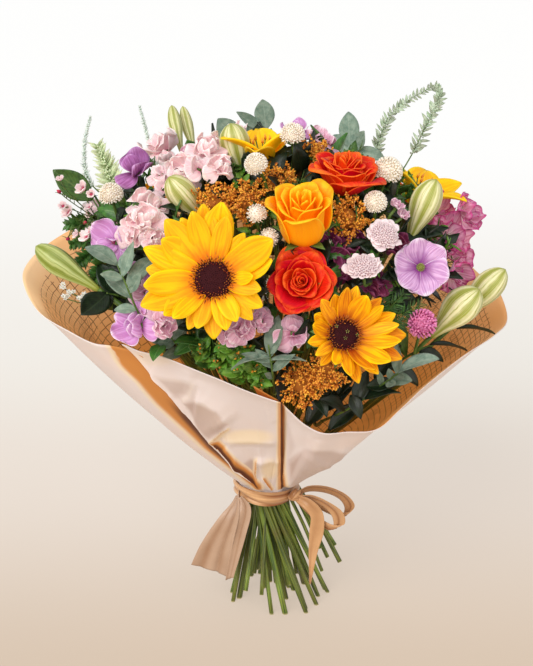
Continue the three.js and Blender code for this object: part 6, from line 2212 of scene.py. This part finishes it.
def ribbon_strip(name, path, steps, columns, nodes, cup, pleats=(), material=SATIN):
    """A strip of satin along a path of (place, width, side), with lengthwise pleats (place across, depth)."""
    points = smooth_line([p for p, _, _ in path], steps)
    sides = smooth_line([s for _, _, s in path], steps)
    widths = smooth_line([Vector((w, 0, 0)) for _, w, _ in path], steps)

    def shape(across, along):
        k = along * steps
        i = min(int(k), steps - 1)
        at = points[i].lerp(points[i + 1], k - i)
        side = sides[i].lerp(sides[i + 1], k - i).normalized()
        ahead = (points[i + 1] - points[i]).normalized()
        normal = side.cross(ahead).normalized()
        half = widths[i].lerp(widths[i + 1], k - i).x / 2
        t = 2 * across - 1
        ripple = cup * (1 - t * t) + 0.35 * math.sin(t * 7 + along * 5)
        tone = 0.42 + 0.1 * math.sin(3 * t + 4 * along)
        for middle, depth in pleats:
            off = (t - middle) / 0.22
            steep = 1 if off < 0 else 9
            ripple += depth * min(1, half / 10) * math.exp(-steep * off * off)
            # Each pleat gets a band of painted shade on its steep side.
            tone += 0.4 * math.exp(-30 * (t - middle - 0.05) ** 2)
        return (*(at + side * half * t + normal * ripple), tone)

    made = thin_sheet(name, shape, columns, steps, RIBBON, [material, material], nodes)
    length = sum((b - a).length for a, b in zip(points, points[1:])) * MM
    area = sum(
        (b - a).length * (u.x + v.x) / 2 for a, b, u, v in zip(points, points[1:], widths, widths[1:])
    ) * MM * MM


def seen_path(spots):
    return [(seen(*spot), width, facing(*side)) for spot, width, side in spots]


UPPER_LOOP = seen_path([
    ((29, -162, -52), 8, (0, 0.5, 0.85)), ((42, -156, -46), 12, (0, 0.5, 0.85)),
    ((60, -157, -42), 14, (0.1, 0.5, 0.85)),
    ((76, -164, -42), 14, (0.45, 0.4, 0.8)), ((83, -174, -46), 14, (0.7, 0.25, 0.65)),
    ((77, -182, -52), 13, (0.5, 0.4, 0.75)), ((62, -178, -56), 12, (0.1, 0.45, 0.9)),
    ((45, -170, -56), 11, (0, 0.45, 0.9)), ((30, -165, -54), 7, (0, 0.5, 0.85)),
])
LOWER_LOOP = seen_path([
    ((29, -165, -52), 8, (0, 0.5, 0.85)), ((44, -165, -42), 12, (0.2, 0.5, 0.85)),
    ((60, -172, -38), 13, (0.4, 0.4, 0.8)),
    ((71, -182, -40), 14, (0.75, 0.35, 0.55)), ((72, -193, -46), 14, (0.8, 0.3, 0.5)),
    ((62, -194, -52), 12, (0.4, 0.5, 0.75)), ((48, -184, -56), 11, (0.1, 0.5, 0.85)),
    ((31, -168, -54), 7, (0, 0.5, 0.85)),
])
NARROW_TAIL = seen_path([
    ((30, -165, -48), 8, (0.2, 0.9, 0.4)), ((41, -171, -42), 12, (0.6, 0.75, 0.3)),
    ((50, -182, -44), 14, (0.9, 0.4, 0.3)),
    ((50, -199, -50), 15, (1, 0.05, 0.2)), ((46.5, -220, -57), 9, (1, 0, 0.2)),
    ((43.5, -251, -66), 1.4, (1, 0, 0.2)),
])
WIDE_TAIL = [
    (Vector(p), width, Vector(side)) for p, width, side in (
        ((-30, -16, 123), 11, (0.3, -0.2, 1)), ((-38, -32, 104), 22, (0.8, -0.4, 0.2)),
        ((-50.5, -38, 74), 33, (0.9, -0.3, 0)), ((-58.5, -42, 44), 41, (0.95, -0.2, -0.25)),
    )
]
SECOND_TAIL = seen_path([
    ((-27, -164, -52), 7, (0.6, 0.5, 0.6)), ((-22, -178, -50), 14, (0.95, 0.2, 0.2)),
    ((-28, -205, -56), 15, (0.95, 0.2, 0.2)),
    ((-37, -246, -66), 9, (0.9, 0.3, 0.2)),
])
bow = ("ribbon_bow",)
ribbon_strip("bow_loop_upper", UPPER_LOOP, 70, 12, bow, 1.2, [(0.1, 1.0)])
ribbon_strip("bow_loop_lower", LOWER_LOOP, 70, 12, bow, 1.0, [(-0.2, 0.8)])
ribbon_strip("ribbon_tail_narrow", NARROW_TAIL, 50, 12, bow, 1.0)
wide = ("ribbon_tail_wide",)
ribbon_strip("ribbon_tail_broad", WIDE_TAIL, 50, 30, wide, 2.0, [(0.35, 2.4), (-0.5, 1.2)], PALE_SATIN)
ribbon_strip("ribbon_tail_second", SECOND_TAIL, 50, 14, wide, 1.2, [(0.1, 1.2)], PALE_SATIN)


def knot():
    piece = Piece()
    for k, tilt in enumerate((0.5, 0.95, 1.3, 1.7)):
        place = Matrix.Translation(KNOT) @ Matrix.Rotation(tilt, 4, "Y") @ scaled(3.4, 5.6, 9.5)
        piece.add(MOUND, place @ Matrix.Translation((0.5 * (k - 1.5), 0, -0.2)), (0.8, 0.35, 0.7, 0.5)[k], 0)
    piece.made("bow_knot", [SATIN], bow, "ribbon")


knot()


def band():
    """The ribbon wound round the paper: a thin ring whose folds run aslant and cross."""
    def shape(around, up):
        a = TURN * around
        h = up * 2 - 1
        fold = abs(math.sin(math.pi * (1.6 * up + 0.55 * math.sin(a + 0.9) + 0.15 * math.sin(3 * a))))
        fine = 0.2 * math.sin(16 * up + 3 * a)
        streak = 0.12 * math.sin(36 * up + 2.5 * a) + 0.1 * math.sin(19 * up - a)
        r = BAND_RADIUS + 0.5 + 1.5 * fold + fine
        middle = TIE_HEIGHT + 1.2 * math.sin(a * 2 + 0.6)
        # Tone is painted light and shade: darker in the hollows of the folds and towards the right of the
        # band, with fine painted streaks of sheen.
        tone = 0.66 - 0.62 * fold + 0.5 * eased(math.sin(a + 2.0)) + streak
        return r * math.cos(a), r * math.sin(a), middle + h * (BAND_HEIGHT / 2 + 0.7 * math.sin(a * 3)), tone

    made = thin_sheet(
        "ribbon_wound", shape, 110, 28, WOUND_RIBBON, [SATIN, SATIN], ("ribbon_band",),
    )


band()


# The studio: floor, light and camera

FLOOR_SIZE = 16
SKY_STRENGTH = 0.6
KEY_SOFTNESS = math.radians(50)
FILL_SIZE = 2.0
SENSOR_HEIGHT = 24


def studio():
    scene = bpy.context.scene
    bpy.ops.mesh.primitive_plane_add(size=FLOOR_SIZE)
    floor = bpy.context.object
    floor.name = "floor"
    floor.data.materials.append(FLOOR)
    world = bpy.data.worlds.new("studio")
    scene.world = world
    world.use_nodes = True
    sky = world.node_tree.nodes["Background"]
    sky.inputs["Color"].default_value = (0.985, 0.99, 1.0, 1)
    sky.inputs["Strength"].default_value = SKY_STRENGTH
    for name, kind, place, energy, colour in (
        ("key", "SUN", (-1.3, -1.9, 2.2), 2.2, (1, 0.985, 0.965)),
        ("fill", "AREA", (2.0, -1.8, 0.9), 14, (1, 0.99, 0.98)),
    ):
        lamp = bpy.data.lights.new(name, kind)
        if kind == "SUN":
            lamp.angle = KEY_SOFTNESS
        else:
            lamp.size = FILL_SIZE
        lamp.energy = energy
        lamp.color = colour
        light = bpy.data.objects.new(name, lamp)
        light.location = place
        light.rotation_euler = (Vector((0, 0, 0.3)) - Vector(place)).to_track_quat("-Z", "Y").to_euler()
        scene.collection.objects.link(light)
    camera = bpy.data.objects.new("camera", bpy.data.cameras.new("camera"))
    camera.location = (AXIS + VIEW_CENTRE + TOWARD * VIEW_DISTANCE) * MM
    camera.rotation_euler = (math.pi / 2 - VIEW_RISE, 0, 0)
    camera.data.sensor_fit = "VERTICAL"
    camera.data.sensor_height = SENSOR_HEIGHT
    camera.data.lens = SENSOR_HEIGHT * VIEW_DISTANCE / PHOTO_HEIGHT
    scene.collection.objects.link(camera)
    scene.camera = camera
    scene.view_settings.view_transform = "Standard"


studio()
